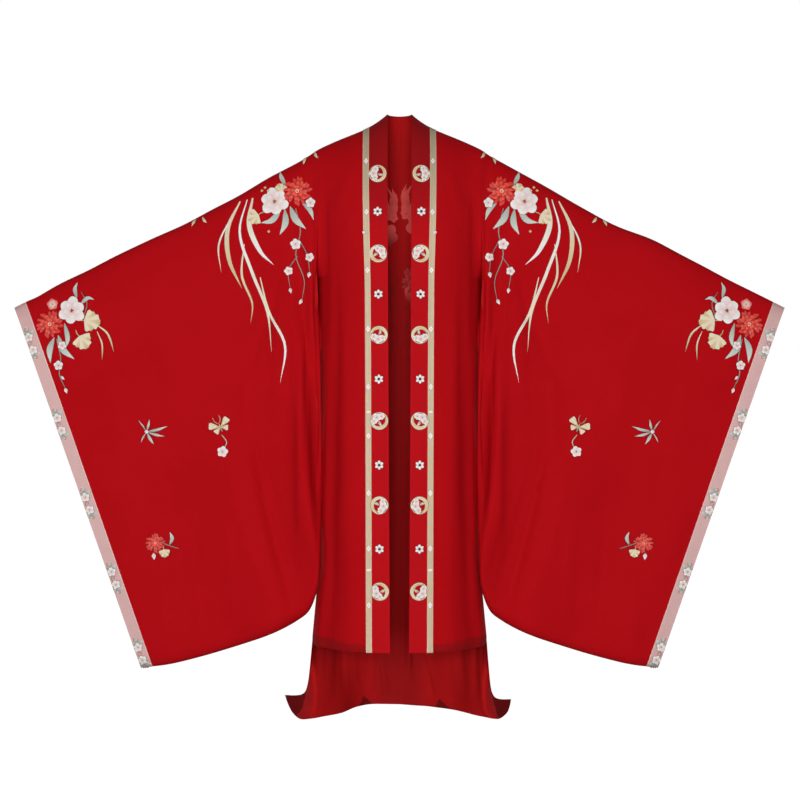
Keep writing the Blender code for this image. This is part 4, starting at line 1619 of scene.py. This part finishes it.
@dataclass
class Garden:
    """The motifs of the embroidery, each drawn from its own few sizes."""

    needle: Needle

    def chrysanthemum(self, at: Spot, radius: float, turn: float = 0.0) -> None:
        """A coral bloom of three rings of slender petals round a gold heart."""
        rings = (
            (17, 0.4, 0.6, (Silks.CRIMSON, Silks.CORAL)),
            (13, 0.22, 0.52, (Silks.CRIMSON, Silks.FLAME)),
            (8, 0.08, 0.36, (Silks.CORAL, Silks.FLAME)),
        )
        for petals, start, length, tone in rings:
            for petal in range(petals):
                angle = turn + 360.0 * petal / petals + 7.0 * math.sin(2.3 * petal)
                reach = radius * length * (1.0 + 0.12 * math.sin(1.7 * petal + start))
                line = ray(at, angle, radius * start, reach, 0.1)
                self.needle.area(line, radius * 0.24, Shape.SLENDER, tone, SLIM._replace(edged=start > 0.3))
        for knot in range(5):
            self.needle.knot(spot_at(at, 72.0 * knot + turn, 0.1 * radius), radius * 0.055, Silks.CREAM)

    def camellia(self, at: Spot, radius: float, turn: float = 0.0) -> None:
        """A white bloom of broad lapping petals with a tuft of stamens."""
        for petals, start, length, width, twist in ((6, 0.26, 0.74, 0.8, 0.0), (5, 0.12, 0.54, 0.58, 20.0)):
            for petal in range(petals):
                reach = radius * length * (1.0 + 0.08 * math.sin(2.9 * petal + turn))
                line = ray(at, turn + 360.0 * petal / petals + twist, radius * start, reach, 0.06)
                fill = Fill(0.0011, 9, 5, not twist)
                self.needle.area(line, radius * width, Shape.ROUND, (Silks.BLUSH, Silks.WHITE), fill)
        for knot in range(7):
            reach, silk = ((0.1, Silks.SAGE), (0.17, Silks.GOLD))[knot % 2]
            self.needle.knot(spot_at(at, 360.0 * knot / 7 + turn, radius * reach), radius * 0.045, silk)

    def plum(self, at: Spot, radius: float, turn: float = 0.0, petal: Silks = Silks.WHITE) -> None:
        """A five-petalled blossom with a dark eye and gold stamens."""
        for number in range(5):
            line = ray(at, turn + 72.0 * number, radius * 0.12, radius * 0.88)
            self.needle.area(line, radius * 0.92, Shape.ROUND, (Silks.BLUSH, petal), Fill(0.0008, 7, 5))
        for number in range(5):
            spot = spot_at(at, turn + 36.0 + 72.0 * number, 0.3 * radius)
            self.needle.knot(spot, radius * 0.07, Silks.GOLD)
        self.needle.knot(at, radius * 0.15, Silks.TWIG)

    def bud(self, at: Spot, angle: float, length: float) -> None:
        """A closed bud with two sepals."""
        line = ray(at, angle, 0.0, length)
        self.needle.area(line, length * 0.62, Shape.DROP, (Silks.BLUSH, Silks.WHITE), Fill(0.0009, 7, 5))
        for lean in (-26.0, 26.0):
            line = ray(at, angle + lean, -0.1 * length, length * 0.5)
            self.needle.area(line, length * 0.2, Shape.LEAF, GREEN, Fill(0.0005, 5, 3, False))

    def leaf(self, line: Line, width: float, tone: Tone = GREEN) -> None:
        """A leaf with a stitched midrib."""
        self.needle.area(line, width, Shape.LEAF, tone, BROAD)
        self.needle.area(line, width * 0.1, Shape.STEM, tone[::-1], Fill(0.0004, 9, 3, False))

    def grass(self, line: Line, width: float, tone: Tone = STRAW) -> None:
        """A long blade that swells and tapers."""
        self.needle.area(line, width, Shape.GRASS, tone, Fill(0.0006, 25, 5))

    def stem(self, line: Line, width: float = 0.0022, silk: Silks = Silks.TWIG) -> None:
        """A thin stem."""
        self.needle.area(line, width, Shape.STEM, (silk, silk), Fill(0.0005, 21, 3))

    def ginkgo(self, at: Spot, angle: float, length: float) -> None:
        """A fan-shaped cream leaf on a short stalk."""
        self.stem(ray(at, angle, -0.5 * length, 0.55 * length, 0.1), 0.002, Silks.GOLD)
        for number in range(7):
            lean = -60.0 + 20.0 * number
            reach = length * (0.86 + 0.14 * math.cos(math.radians(3.0 * lean)))
            tone = (Silks.CREAM, Silks.GOLD if number % 2 else Silks.CREAM)
            self.needle.area(ray(at, angle + lean, 0.0, reach), length * 0.4, Shape.WEDGE, tone, SLIM)

    def butterfly(self, at: Spot, angle: float, size: float) -> None:
        """A gold butterfly with open wings."""
        wings = ((62.0, 1.0, 0.62), (-62.0, 1.0, 0.62), (118.0, 0.66, 0.5), (-118.0, 0.66, 0.5))
        for lean, reach, width in wings:
            line = ray(at, angle + lean, 0.04 * size, reach * size)
            self.needle.area(line, width * size, Shape.WEDGE, GILT, Fill(0.0008, 9, 5))
            line = ray(at, angle + lean, 0.3 * size, 0.45 * reach * size)
            fill = Fill(0.0009, 7, 3, False)
            self.needle.area(line, 0.26 * size, Shape.ROUND, (Silks.WHITE, Silks.BLUSH), fill)
        line = ray(at, angle, -0.45 * size, 0.9 * size)
        self.needle.area(line, 0.15 * size, Shape.DROP, (Silks.TWIG, Silks.GOLD), BROAD)
        for lean, bend in ((-16.0, -0.12), (16.0, 0.12)):
            self.stem(ray(at, angle + lean, 0.4 * size, 0.7 * size, bend), 0.0011, Silks.CREAM)

    def bamboo(self, at: Spot, size: float, turn: float) -> None:
        """A star of narrow leaves round a pearl-white knot."""
        leaves = (
            (0.0, 1.5, 0.2),
            (29.0, 1.28, 0.19),
            (75.0, 0.96, 0.21),
            (133.0, 0.8, 0.1),
            (-110.0, 0.92, 0.1),
            (-62.0, 0.84, 0.17),
        )
        for lean, reach, width in leaves:
            line = ray(at, turn + lean, 0.1 * size, reach * size, 0.04)
            self.needle.area(line, width * size, Shape.LEAF, GREEN, BROAD)
        self.needle.knot(at, 0.14 * size, Silks.WHITE)

    def fern(self, line: Line, pairs: int, length: float) -> None:
        """A frond: a stem with pairs of narrow leaflets that shorten to its tip."""
        self.stem(line, 0.0022, Silks.SAGE)
        place, aside, _ = curve_through(line, np.linspace(0.08, 0.98, pairs))
        for number in range(pairs):
            heading = math.degrees(math.atan2(-aside[number][0], aside[number][1]))
            for lean, bend in ((-38.0, 0.1), (38.0, -0.1)):
                uneven = math.sin(2.4 * number + lean)
                reach = length * (1.0 - 0.55 * number / pairs) * (1.0 + 0.22 * uneven)
                leaflet = ray(tuple(place[number]), heading + lean + 12.0 * uneven, 0.0, reach, bend)
                self.needle.area(leaflet, reach * 0.17, Shape.LEAF, GREEN, BARE)

    def scroll(self, at: Spot, radius: float, turn: float, silk: Silks) -> None:
        """A small curl."""
        line = [spot_at(at, turn + 48.0 * step, radius * (1.0 - 0.1 * step)) for step in range(9)]
        self.needle.area(line, 0.0024, Shape.STEM, (silk, silk), Fill(0.0004, 21, 3, False))

    def arc(self, at: Spot, radius: float, start: float, sweep: float) -> list[Spot]:
        """Points of a round line about a centre, from an angle through a sweep."""
        return [spot_at(at, angle, radius) for angle in np.linspace(start, start + sweep, 13)]

    def roundel(self, at: Spot, radius: float, turn: float) -> None:
        """A gold crescent and a thin ring that hold pale blossoms and leaves about a red middle."""
        ring = self.arc(at, 0.93 * radius, turn, 360.0)
        self.needle.area(ring, 0.0026, Shape.STEM, (Silks.CREAM, Silks.CREAM), Fill(0.0006, 37, 3))
        crescent = self.arc(at, 0.8 * radius, turn + 62.0, 200.0)
        self.needle.area(crescent, 0.009, Shape.GRASS, GILT, Fill(0.0008, 25, 5))
        leaves = ((150.0, 0.62, (Silks.SAGE, Silks.CREAM)), (208.0, 0.5, (Silks.CORAL, Silks.CRIMSON)))
        for lean, reach, tone in leaves:
            line = ray(at, turn + lean, 0.02 * radius, reach * radius, 0.14)
            self.needle.area(line, radius * 0.3, Shape.LEAF, tone, NARROW)
        for lean, reach, size in ((-96.0, 0.56, 0.36), (28.0, 0.58, 0.38), (-36.0, 0.46, 0.5)):
            self.plum(spot_at(at, turn + lean, reach * radius), radius * size, turn + lean)

    def star(self, at: Spot, radius: float) -> None:
        """A small six-petalled white flower with a dark eye."""
        for number in range(6):
            line = ray(at, 30.0 + 60.0 * number, radius * 0.26, radius * 0.74)
            self.needle.area(line, radius * 0.62, Shape.ROUND, (Silks.WHITE, Silks.WHITE), NARROW)
        self.needle.knot(at, radius * 0.3, Silks.WINE)


@dataclass
class Sprays:
    """The groups of motifs, placed as distance out and height on the panels."""

    shoulder_bloom: Spot = (0.258, -0.166)
    shoulder_white: Spot = (0.316, -0.192)
    cuff_white: Spot = (0.828, -0.468)
    cuff_bloom: Spot = (0.884, -0.502)
    star_at: Spot = (0.64, -0.774)
    butterfly_at: Spot = (0.452, -0.762)
    sprig_at: Spot = (0.61, -1.056)

    def shoulder(self, garden: Garden) -> None:
        """Blooms near the neck, hanging plum twigs, and long blades of grass from the shoulder line."""
        blades = (
            (((0.404, -0.19), (0.434, -0.262), (0.43, -0.34), (0.398, -0.412)), 0.0115, STRAW),
            (
                ((0.386, -0.186), (0.404, -0.27), (0.372, -0.372), (0.334, -0.47), (0.322, -0.572)),
                0.008,
                MILK,
            ),
            (((0.372, -0.182), (0.38, -0.25), (0.352, -0.318), (0.318, -0.352)), 0.013, MILK[::-1]),
            (((0.352, -0.384), (0.33, -0.47), (0.288, -0.556), (0.3, -0.65)), 0.007, MILK[::-1]),
            (((0.392, -0.3), (0.398, -0.38), (0.372, -0.45), (0.376, -0.5)), 0.006, STRAW),
            (((0.42, -0.222), (0.456, -0.3), (0.45, -0.372)), 0.0045, MILK),
        )
        leaves = (
            (((0.276, -0.205), (0.262, -0.238), (0.236, -0.262)), 0.017),
            (((0.29, -0.212), (0.288, -0.246), (0.302, -0.276)), 0.016),
            (((0.3, -0.212), (0.322, -0.24), (0.35, -0.246)), 0.015),
            (((0.246, -0.196), (0.226, -0.214), (0.216, -0.24)), 0.012),
            (((0.288, -0.15), (0.3, -0.128), (0.304, -0.112)), 0.011),
        )
        plums = (
            ((0.224, -0.196), 0.013, 20.0),
            ((0.262, -0.3), 0.014, 10.0),
            ((0.226, -0.334), 0.011, 44.0),
            ((0.28, -0.368), 0.011, 70.0),
        )
        buds = (
            ((0.226, -0.372), -80.0, 0.014),
            ((0.276, -0.412), -100.0, 0.013),
            ((0.246, -0.44), -60.0, 0.015),
        )
        gilt_leaves = (
            ((0.214, -0.064), -112.0),
            ((0.236, -0.078), -70.0),
            ((0.516, -0.236), -60.0),
            ((0.5, -0.23), -128.0),
        )
        for line, width, tone in blades:
            garden.grass(line, width, tone)
        garden.stem(((0.262, -0.21), (0.25, -0.268), (0.262, -0.328), (0.24, -0.392), (0.246, -0.44)))
        garden.stem(((0.252, -0.29), (0.232, -0.33), (0.226, -0.372)), 0.0018)
        garden.stem(((0.258, -0.33), (0.28, -0.366), (0.276, -0.412)), 0.0018)
        for line, width in leaves:
            garden.leaf(line, width)
        garden.ginkgo((0.356, -0.226), -28.0, 0.03)
        garden.ginkgo((0.296, -0.168), 62.0, 0.024)
        garden.camellia(self.shoulder_white, 0.035, 12.0)
        garden.chrysanthemum(self.shoulder_bloom, 0.036, 5.0)
        for at, radius, turn in plums:
            garden.plum(at, radius, turn)
        for at, angle, length in buds:
            garden.bud(at, angle, length)
        for at in ((0.34, -0.156), (0.348, -0.164), (0.332, -0.164), (0.33, -0.268)):
            garden.needle.knot(at, 0.0034, Silks.GOLD)
        for at, angle in gilt_leaves:
            garden.leaf(ray(at, angle, 0.0, 0.02, 0.08), 0.007, GILT)

    def cuff(self, garden: Garden) -> None:
        """Two blooms by the cuff, with fan leaves inwards and buds hanging below."""
        leaves = (
            (((0.862, -0.53), (0.85, -0.566), (0.822, -0.59)), 0.017),
            (((0.872, -0.536), (0.884, -0.566), (0.882, -0.6)), 0.015),
            (((0.846, -0.5), (0.838, -0.54), (0.846, -0.566)), 0.012),
            (((0.806, -0.452), (0.788, -0.436), (0.772, -0.44)), 0.01),
            (((0.816, -0.436), (0.822, -0.412), (0.816, -0.396)), 0.01),
        )
        garden.stem(((0.866, -0.54), (0.856, -0.59), (0.86, -0.628), (0.846, -0.664)))
        garden.stem(((0.8, -0.49), (0.79, -0.45), (0.806, -0.42)), 0.0018)
        for line, width in leaves:
            garden.leaf(line, width)
        garden.ginkgo((0.796, -0.492), 188.0, 0.04)
        garden.ginkgo((0.808, -0.532), 238.0, 0.036)
        garden.grass(((0.77, -0.5), (0.738, -0.526), (0.722, -0.572)), 0.005)
        garden.grass(((0.764, -0.52), (0.752, -0.552), (0.752, -0.592)), 0.004)
        garden.camellia(self.cuff_white, 0.034, 30.0)
        garden.chrysanthemum(self.cuff_bloom, 0.034, 18.0)
        garden.plum((0.878, -0.452), 0.015, 8.0, Silks.FLAME)
        garden.plum((0.852, -0.556), 0.011, 50.0)
        garden.plum((0.862, -0.606), 0.012, 14.0)
        garden.bud((0.846, -0.664), -110.0, 0.014)
        garden.bud((0.856, -0.634), -140.0, 0.012)

    def scattered(self, garden: Garden) -> None:
        """The three small motifs on the fall of the sleeve."""
        out, height = self.sprig_at
        twig = ((out - 0.01, height), (out - 0.032, height - 0.008), (out - 0.052, height - 0.014))
        leaf = ((out - 0.028, height - 0.004), (out - 0.034, height + 0.012), (out - 0.028, height + 0.028))
        garden.bamboo(self.star_at, 0.034, 165.0)
        garden.butterfly(self.butterfly_at, 66.0, 0.028)
        garden.stem(((0.448, -0.782), (0.436, -0.8), (0.444, -0.818)), 0.0018, Silks.CREAM)
        garden.plum((0.446, -0.824), 0.014, 30.0)
        garden.stem(twig, 0.002)
        garden.leaf(leaf, 0.009)
        garden.ginkgo((out - 0.014, height - 0.016), 262.0, 0.02)
        garden.chrysanthemum((out + 0.008, height), 0.024, 0.0)
        garden.bud((out + 0.012, height - 0.026), -96.0, 0.016)

    def centre_back(self, garden: Garden) -> None:
        """A tall bunch beside the centre back seam: blooms at its head, ferns and grass below."""
        ferns = (
            (((0.028, -0.43), (0.038, -0.64), (0.024, -0.86), (0.032, -1.08)), 15, 0.036),
            (((0.03, -0.4), (0.074, -0.56), (0.11, -0.74), (0.128, -0.93)), 18, 0.042),
            (((0.024, -0.41), (0.02, -0.56), (0.052, -0.7), (0.07, -0.82)), 9, 0.026),
        )
        blades = (
            (((0.04, -0.36), (0.118, -0.46), (0.15, -0.6), (0.142, -0.76)), 0.013),
            (((0.03, -0.38), (0.09, -0.52), (0.086, -0.7), (0.11, -0.86)), 0.01),
            (((0.06, -0.23), (0.12, -0.25), (0.162, -0.32)), 0.012),
            (((0.04, -0.23), (0.03, -0.19), (0.06, -0.15)), 0.01),
        )
        leaves = (
            ((0.07, -0.35), (0.104, -0.392), (0.112, -0.44)),
            ((0.04, -0.37), (0.026, -0.41), (0.036, -0.452)),
            ((0.088, -0.23), (0.116, -0.206), (0.128, -0.172)),
            ((0.034, -0.225), (0.016, -0.19), (0.018, -0.16)),
        )
        tufts = (
            (0.012, 0.052, 84.0),
            (0.018, 0.06, 76.0),
            (0.025, 0.056, 96.0),
            (0.033, 0.046, 70.0),
            (0.044, 0.042, 92.0),
        )
        for line, pairs, length in ferns:
            garden.fern(line, pairs, length)
        for line, width in blades:
            garden.grass(line, width)
        for line in leaves:
            garden.leaf(line, 0.026)
        for out, length, angle in tufts:
            length *= 1.0 if garden.needle.side is Side.RIGHT else 1.6 - 22.0 * out
            garden.leaf(ray((out, -0.196), angle, 0.0, length, 0.12), 0.009)
            garden.leaf(ray((out, -0.186), angle + 16.0, 0.0, 0.6 * length, -0.12), 0.007)
        if garden.needle.side is Side.RIGHT:
            garden.camellia((0.037, -0.262), 0.034, 10.0)
            garden.plum((0.016, -0.216), 0.013, 50.0)
            garden.plum((0.034, -0.208), 0.012, 10.0)
            garden.chrysanthemum((0.094, -0.318), 0.046, 0.0)
            garden.camellia((0.052, -0.366), 0.03, 40.0)
        else:
            garden.camellia((0.056, -0.236), 0.04, 10.0)
            garden.plum((0.018, -0.206), 0.016, 20.0)
            garden.chrysanthemum((0.104, -0.3), 0.044, 0.0)
            garden.chrysanthemum((0.042, -0.38), 0.038, 40.0)
        for at, radius in (((0.128, -0.236), 0.016), ((0.084, -0.412), 0.015), ((0.03, -0.5), 0.013)):
            garden.plum(at, radius, 20.0)


Drawing = Callable[[Garden], None]


class Embroidery:
    """All the stitching, in one piece for each stretch of cloth that carries it."""

    roundels = (0.13, 0.331, 0.533, 0.745, 0.953, 1.164)
    roundel_radius = 0.0222
    stars = (0.227, 0.432, 0.642, 0.854, 1.06)
    star_radius = 0.0112
    on_band = 0.405
    lozenges = (0.096, 0.227, 0.372, 0.518, 0.661, 0.782, 0.923, 1.059, 1.198)
    tacks = (0.723, 1.112)
    mark_width = 0.0056
    cuff_groups = (0.551, 0.755, 0.956, 1.145, 1.336)

    def __init__(self, form: RobeForm, panels: dict[str, Panel], silks: Sequence[Paint]) -> None:
        """Keeps the panels that the stitching is laid on, by piece name, and the silk and its reverse."""
        self.form = form
        self.panels = panels
        self.silk, self.reverse = silks
        self.sprays = Sprays()

    def sew(self, name: str, facing: Facing, panel: Panel, draw: Drawing) -> Piece:
        """Draws one group and lays it on its cloth.

        Args:
            name: Start of the piece's name.
            facing: Which way its cloth looks.
            panel: The panel that carries it.
            draw: Function that draws it with a garden.

        Returns:
            The embroidery.
        """
        needle = Needle(f"{name}_{panel.side.word}", panel.side, facing)
        draw(Garden(needle))
        silk = self.reverse if facing is Facing.INSIDE else self.silk
        return needle.finish(Workroom.ground([panel.piece]), silk, panel.slot)

    def draw_sleeve(self, garden: Garden) -> None:
        """All that one face of a sleeve carries."""
        self.sprays.shoulder(garden)
        self.sprays.cuff(garden)
        self.sprays.scattered(garden)

    def draw_band(self, garden: Garden) -> None:
        """The roundels and the small flowers of the collar band."""
        for number, down in enumerate(self.roundels):
            at = (self.form.band_out(down, self.on_band), -down)
            garden.roundel(at, self.roundel_radius, 40.0 + 137.0 * number)
        for down in self.stars:
            garden.star((self.form.band_out(down, self.on_band), -down), self.star_radius)

    def draw_lozenges(self, garden: Garden) -> None:
        """The small white woven marks along the braid, and the tacks across it."""
        white = (Silks.WHITE, Silks.WHITE)
        middle = 1.0 - 0.5 * self.form.braid_share
        for down in self.lozenges:
            at = (self.form.band_out(down, middle), -down)
            for angle, reach in ((90.0, 0.0064), (-90.0, 0.0064), (0.0, 0.0048), (180.0, 0.0048)):
                garden.needle.area(ray(at, angle, 0.0006, reach), self.mark_width, Shape.ROUND, white, BARE)
            garden.needle.knot(at, 0.0014, Silks.TWIG)
        for down in self.tacks:
            places = (1.0 - share * self.form.braid_share for share in (0.9, 0.1))
            line = [(self.form.band_out(down, place), -down) for place in places]
            garden.needle.area(line, self.mark_width, Shape.STEM, white, Fill(0.0008, 7, 3, False))

    def draw_cuff(self, garden: Garden) -> None:
        """The groups of blossoms, curls and leaves along the cuff band."""
        share = 1.0 - 0.5 * self.form.cuff_share
        top, bottom = (self.form.sleeve_point(1, share, np.array(around)) for around in (0.0, 0.5))
        run = np.array((bottom[0] - top[0], bottom[2] - top[2]))
        run /= np.linalg.norm(run)
        lean = math.degrees(math.atan2(run[1], run[0]))
        for down in self.cuff_groups:
            way = (-down - top[2]) / (bottom[2] - top[2])
            middle = np.array((mix(top[0], bottom[0], way), -down))
            for reach, heading in ((0.017, 0.0), (-0.017, 180.0)):
                at = tuple(middle + run * reach)
                for angle, length in ((0.0, 0.024), (48.0, 0.018), (-48.0, 0.018)):
                    line = ray(at, lean + angle + heading, 0.004, length, 0.1)
                    garden.needle.area(line, 0.0086, Shape.LEAF, (Silks.TEAL, Silks.MIST), BARE)
                garden.plum(at, 0.0118, lean + math.copysign(30.0, reach))
            for step, turn in ((0.038, 90.0), (-0.038, -90.0), (0.0, 0.0)):
                garden.scroll(tuple(middle + run * step), 0.0072, lean + turn, Silks.TAN)

    def build(self) -> dict[str, list[Piece]]:
        """Sews every group.

        Returns:
            The pieces of stitching on each piece of cloth, by the cloth's name.
        """
        sewn: dict[str, list[Piece]] = {}
        plans = (
            ("sleeve_front_embroidery", Facing.FRONT, "sleeve", self.draw_sleeve),
            ("sleeve_back_embroidery", Facing.BACK, "sleeve", self.draw_sleeve),
            ("cuff_front_embroidery", Facing.FRONT, "cuff", self.draw_cuff),
            ("cuff_back_embroidery", Facing.BACK, "cuff", self.draw_cuff),
            ("band_embroidery", Facing.FRONT, "collar", self.draw_band),
            ("braid_marks", Facing.FRONT, "braid", self.draw_lozenges),
            ("back_embroidery", Facing.BACK, "back", self.sprays.centre_back),
            ("back_reverse", Facing.INSIDE, "back", self.sprays.centre_back),
        )
        for side in Side:
            for name, facing, kind, draw in plans:
                cloth = f"{kind}_cloth_{side.word}"
                sewn.setdefault(cloth, []).append(self.sew(name, facing, self.panels[cloth], draw))
        return sewn


@dataclass
class Haberdashery:
    """Small hard trimmings and the visible sewing along the braid."""

    form: RobeForm
    slot: str = "gold_braid"
    stitch_step: float = 0.006
    stitch_half: Triple = (0.00035, 0.0003, 0.0015)
    stitch_rows: tuple[float, float] = (0.955, 0.045)
    ends_clear: tuple[float, float] = (0.02, 0.01)
    bead_down: float = 0.2785
    bead_radius: float = 0.0046
    bead_flat: float = 0.82

    def drop(self, side: Side, ground: BVHTree, out: float, down: float) -> tuple[Any, Any]:
        """Where a place seen from the front meets the cloth, and its normal, or None where it misses."""
        origin = Vector((side.value * out, -1.0, -down))
        return ground.ray_cast(origin, Vector((0.0, 1.0, 0.0)))[:2]

    def bead(self, side: Side, ground: BVHTree, material: Paint) -> Piece:
        """The silver bead at the braid's outer edge, flattened at its poles."""
        radius = self.bead_radius
        bpy.ops.mesh.primitive_uv_sphere_add(segments=24, ring_count=14, radius=radius)
        piece = bpy.context.active_object
        piece.name = f"bead_{side.word}"
        Workroom.select_only(piece)
        bpy.ops.object.mode_set(mode="EDIT")
        Workroom.resize_where(piece, lambda place: abs(place.z) > 0.8 * radius, (1.0, 1.0, self.bead_flat))
        bpy.ops.object.mode_set(mode="OBJECT")
        out = self.form.band_out(self.bead_down, 1.0) - 0.2 * radius
        hit, normal = self.drop(side, ground, out, self.bead_down)
        piece.location = hit + normal * (radius + 0.0002)
        bpy.ops.object.transform_apply(location=True, rotation=True, scale=True)
        bpy.ops.object.shade_smooth()
        Workroom.carry(piece, self.slot, material)
        return piece

    def stitches(self, side: Side, ground: BVHTree, material: Paint) -> Piece:
        """Rows of small stitches that hold both edges of the braid."""
        bpy.ops.mesh.primitive_ico_sphere_add(subdivisions=1, radius=1.0)
        ball, faces = Workroom.take(bpy.context.active_object)
        points = []
        corners = []
        top, bottom = self.ends_clear
        for row in self.stitch_rows:
            for down in np.arange(top, self.form.front_hem - bottom, self.stitch_step):
                out = self.form.band_out(float(down), 1.0 - self.form.braid_share * row)
                hit, _ = self.drop(side, ground, out, float(down))
                if hit is None:
                    continue
                corners.append(faces + len(points) * len(ball))
                points.append(ball * self.stitch_half + np.array(hit))
        points = np.concatenate(points)
        name = f"braid_stitches_{side.word}"
        piece = Workroom.mesh_piece(name, points, np.concatenate(corners), points[:, [0, 2]])
        piece.data.shade_smooth()
        Workroom.carry(piece, self.slot, material)
        return piece


class Lamp(NamedTuple):
    """A soft square lamp: its place, its side, its power, and whether the satin's sheen mirrors it."""

    name: str
    place: Triple
    size: float
    power: float
    mirrored: bool = True


@dataclass
class Studio:
    """A pale floor, plain soft light, and the camera at the photograph's angle."""

    distance: float = 4.2
    aside: float = 0.00127
    camera_height: float = -0.6936
    lens: float = 74.12
    sensor: float = 36.0
    floor_height: float = -1.5046
    floor_radius: float = 5.0
    floor_shade: float = 0.3
    floor_glow: float = 1.12
    sky_light: float = 0.16
    sky_seen: float = 1.0

    lamps = (
        Lamp("key", (-0.15, -4.6, -0.8), 1.3, 142.0),
        Lamp("left", (-3.2, -2.8, 0.5), 1.6, 20.0),
        Lamp("right", (3.2, -2.8, 0.5), 1.6, 15.0),
        Lamp("low_left", (-1.7, -3.6, -1.3), 0.8, 9.0, False),
        Lamp("low_right", (1.7, -3.6, -1.3), 0.8, 9.0, False),
        Lamp("back_left", (-3.0, 3.2, 0.6), 1.8, 62.0, False),
        Lamp("back_right", (3.0, 3.2, 0.6), 1.8, 52.0, False),
    )

    def floor(self) -> None:
        """A round pale floor, as white as the backdrop where the camera sees it."""
        bpy.ops.mesh.primitive_circle_add(vertices=96, radius=self.floor_radius, fill_type="NGON")
        piece = bpy.context.active_object
        piece.name = "studio_floor"
        piece.location = (0.0, 0.0, self.floor_height)
        board = Board("studio_floor")
        paint = board.finish(Base_Color=(self.floor_shade,) * 3, Roughness=0.8, Specular_IOR_Level=0.0)
        matt = Wire(board, board.shader.outputs[0])
        seen = board.node("ShaderNodeLightPath").part("Is Camera Ray")
        glow = board.node("ShaderNodeEmission", inputs={"Strength": self.floor_glow})
        mixed = board.node("ShaderNodeMixShader", inputs={0: seen * 0.9, 1: matt, 2: glow})
        board.feed(board.tree.nodes["Material Output"].inputs["Surface"], mixed)
        piece.data.materials.append(paint)

    def light(self, lamp: Lamp) -> None:
        """Hangs a lamp and aims it at the middle of the robe."""
        data = bpy.data.lights.new(lamp.name, "AREA")
        data.size = lamp.size
        data.energy = lamp.power
        piece = bpy.data.objects.new(lamp.name, data)
        piece.location = lamp.place
        aim = Vector((0.0, 0.0, self.camera_height)) - piece.location
        piece.rotation_euler = aim.to_track_quat("-Z", "Y").to_euler()
        piece.visible_glossy = lamp.mirrored
        bpy.context.scene.collection.objects.link(piece)

    def world(self) -> None:
        """White backdrop, softer as a light than it looks."""
        world = bpy.data.worlds.new("studio")
        world.use_nodes = True
        nodes = world.node_tree.nodes
        link = world.node_tree.links.new
        pick = nodes.new("ShaderNodeMixShader")
        skies = (nodes["Background"], self.sky_light), (nodes.new("ShaderNodeBackground"), self.sky_seen)
        for socket, (sky, strength) in enumerate(skies, 1):
            sky.inputs["Color"].default_value = (1.0, 1.0, 1.0, 1.0)
            sky.inputs["Strength"].default_value = strength
            link(sky.outputs[0], pick.inputs[socket])
        link(nodes.new("ShaderNodeLightPath").outputs["Is Camera Ray"], pick.inputs["Fac"])
        link(pick.outputs[0], nodes["World Output"].inputs["Surface"])
        bpy.context.scene.world = world

    def camera(self) -> None:
        """The camera, level and straight in front."""
        lens = bpy.data.cameras.new("camera")
        lens.sensor_width = self.sensor
        lens.lens = self.lens
        piece = bpy.data.objects.new("camera", lens)
        piece.location = (self.aside, -self.distance, self.camera_height)
        piece.rotation_euler = (math.radians(90.0), 0.0, 0.0)
        bpy.context.scene.collection.objects.link(piece)
        bpy.context.scene.camera = piece

    def build(self) -> None:
        """Sets up the camera, the floor and the light."""
        self.camera()
        self.floor()
        self.world()
        for lamp in self.lamps:
            self.light(lamp)
        bpy.context.scene.view_settings.view_transform = "Standard"


def declare(panel: Panel) -> None:
    """Logs the size that a piece of cloth was cut to, and its area."""
    LOG.info("%s: cut %.3f by %.3f m, %.3f square metres", panel.name, *panel.flat, panel.area)


def main() -> None:
    """Makes the robe, its stitching and the studio."""
    logging.basicConfig(level=logging.INFO, format="%(name)s %(message)s")
    form = RobeForm()
    Studio().build()
    finishes = (ROBE_SATIN, BAND_SATIN, BRAID, CUFF_PINK, STITCHING, REVERSE, SILVER, SEWING)
    robe, band, braid, cuff, silk, reverse, silver, sewing = (finish.make() for finish in finishes)
    kinds = ((Front, robe), (Back, robe), (Sleeve, robe), (Cuff, cuff), (Collar, band), (Braid, braid))
    panels: dict[str, Panel] = {}
    for side in Side:
        for kind, finish in kinds:
            panel = kind(form, side, finish)
            panel.build()
            panels[panel.name] = panel
    sewn = Embroidery(form, panels, (silk, reverse)).build()
    trims = Haberdashery(form)
    for side in Side:
        name = f"braid_cloth_{side.word}"
        braid_piece, front_piece = panels[name].piece, panels[f"front_cloth_{side.word}"].piece
        sewn[name].append(trims.stitches(side, Workroom.ground([braid_piece]), sewing))
        sewn[name].append(trims.bead(side, Workroom.ground([braid_piece, front_piece]), silver))
    for name, panel in panels.items():
        declare(panel)


if __name__ == "__main__":
    main()
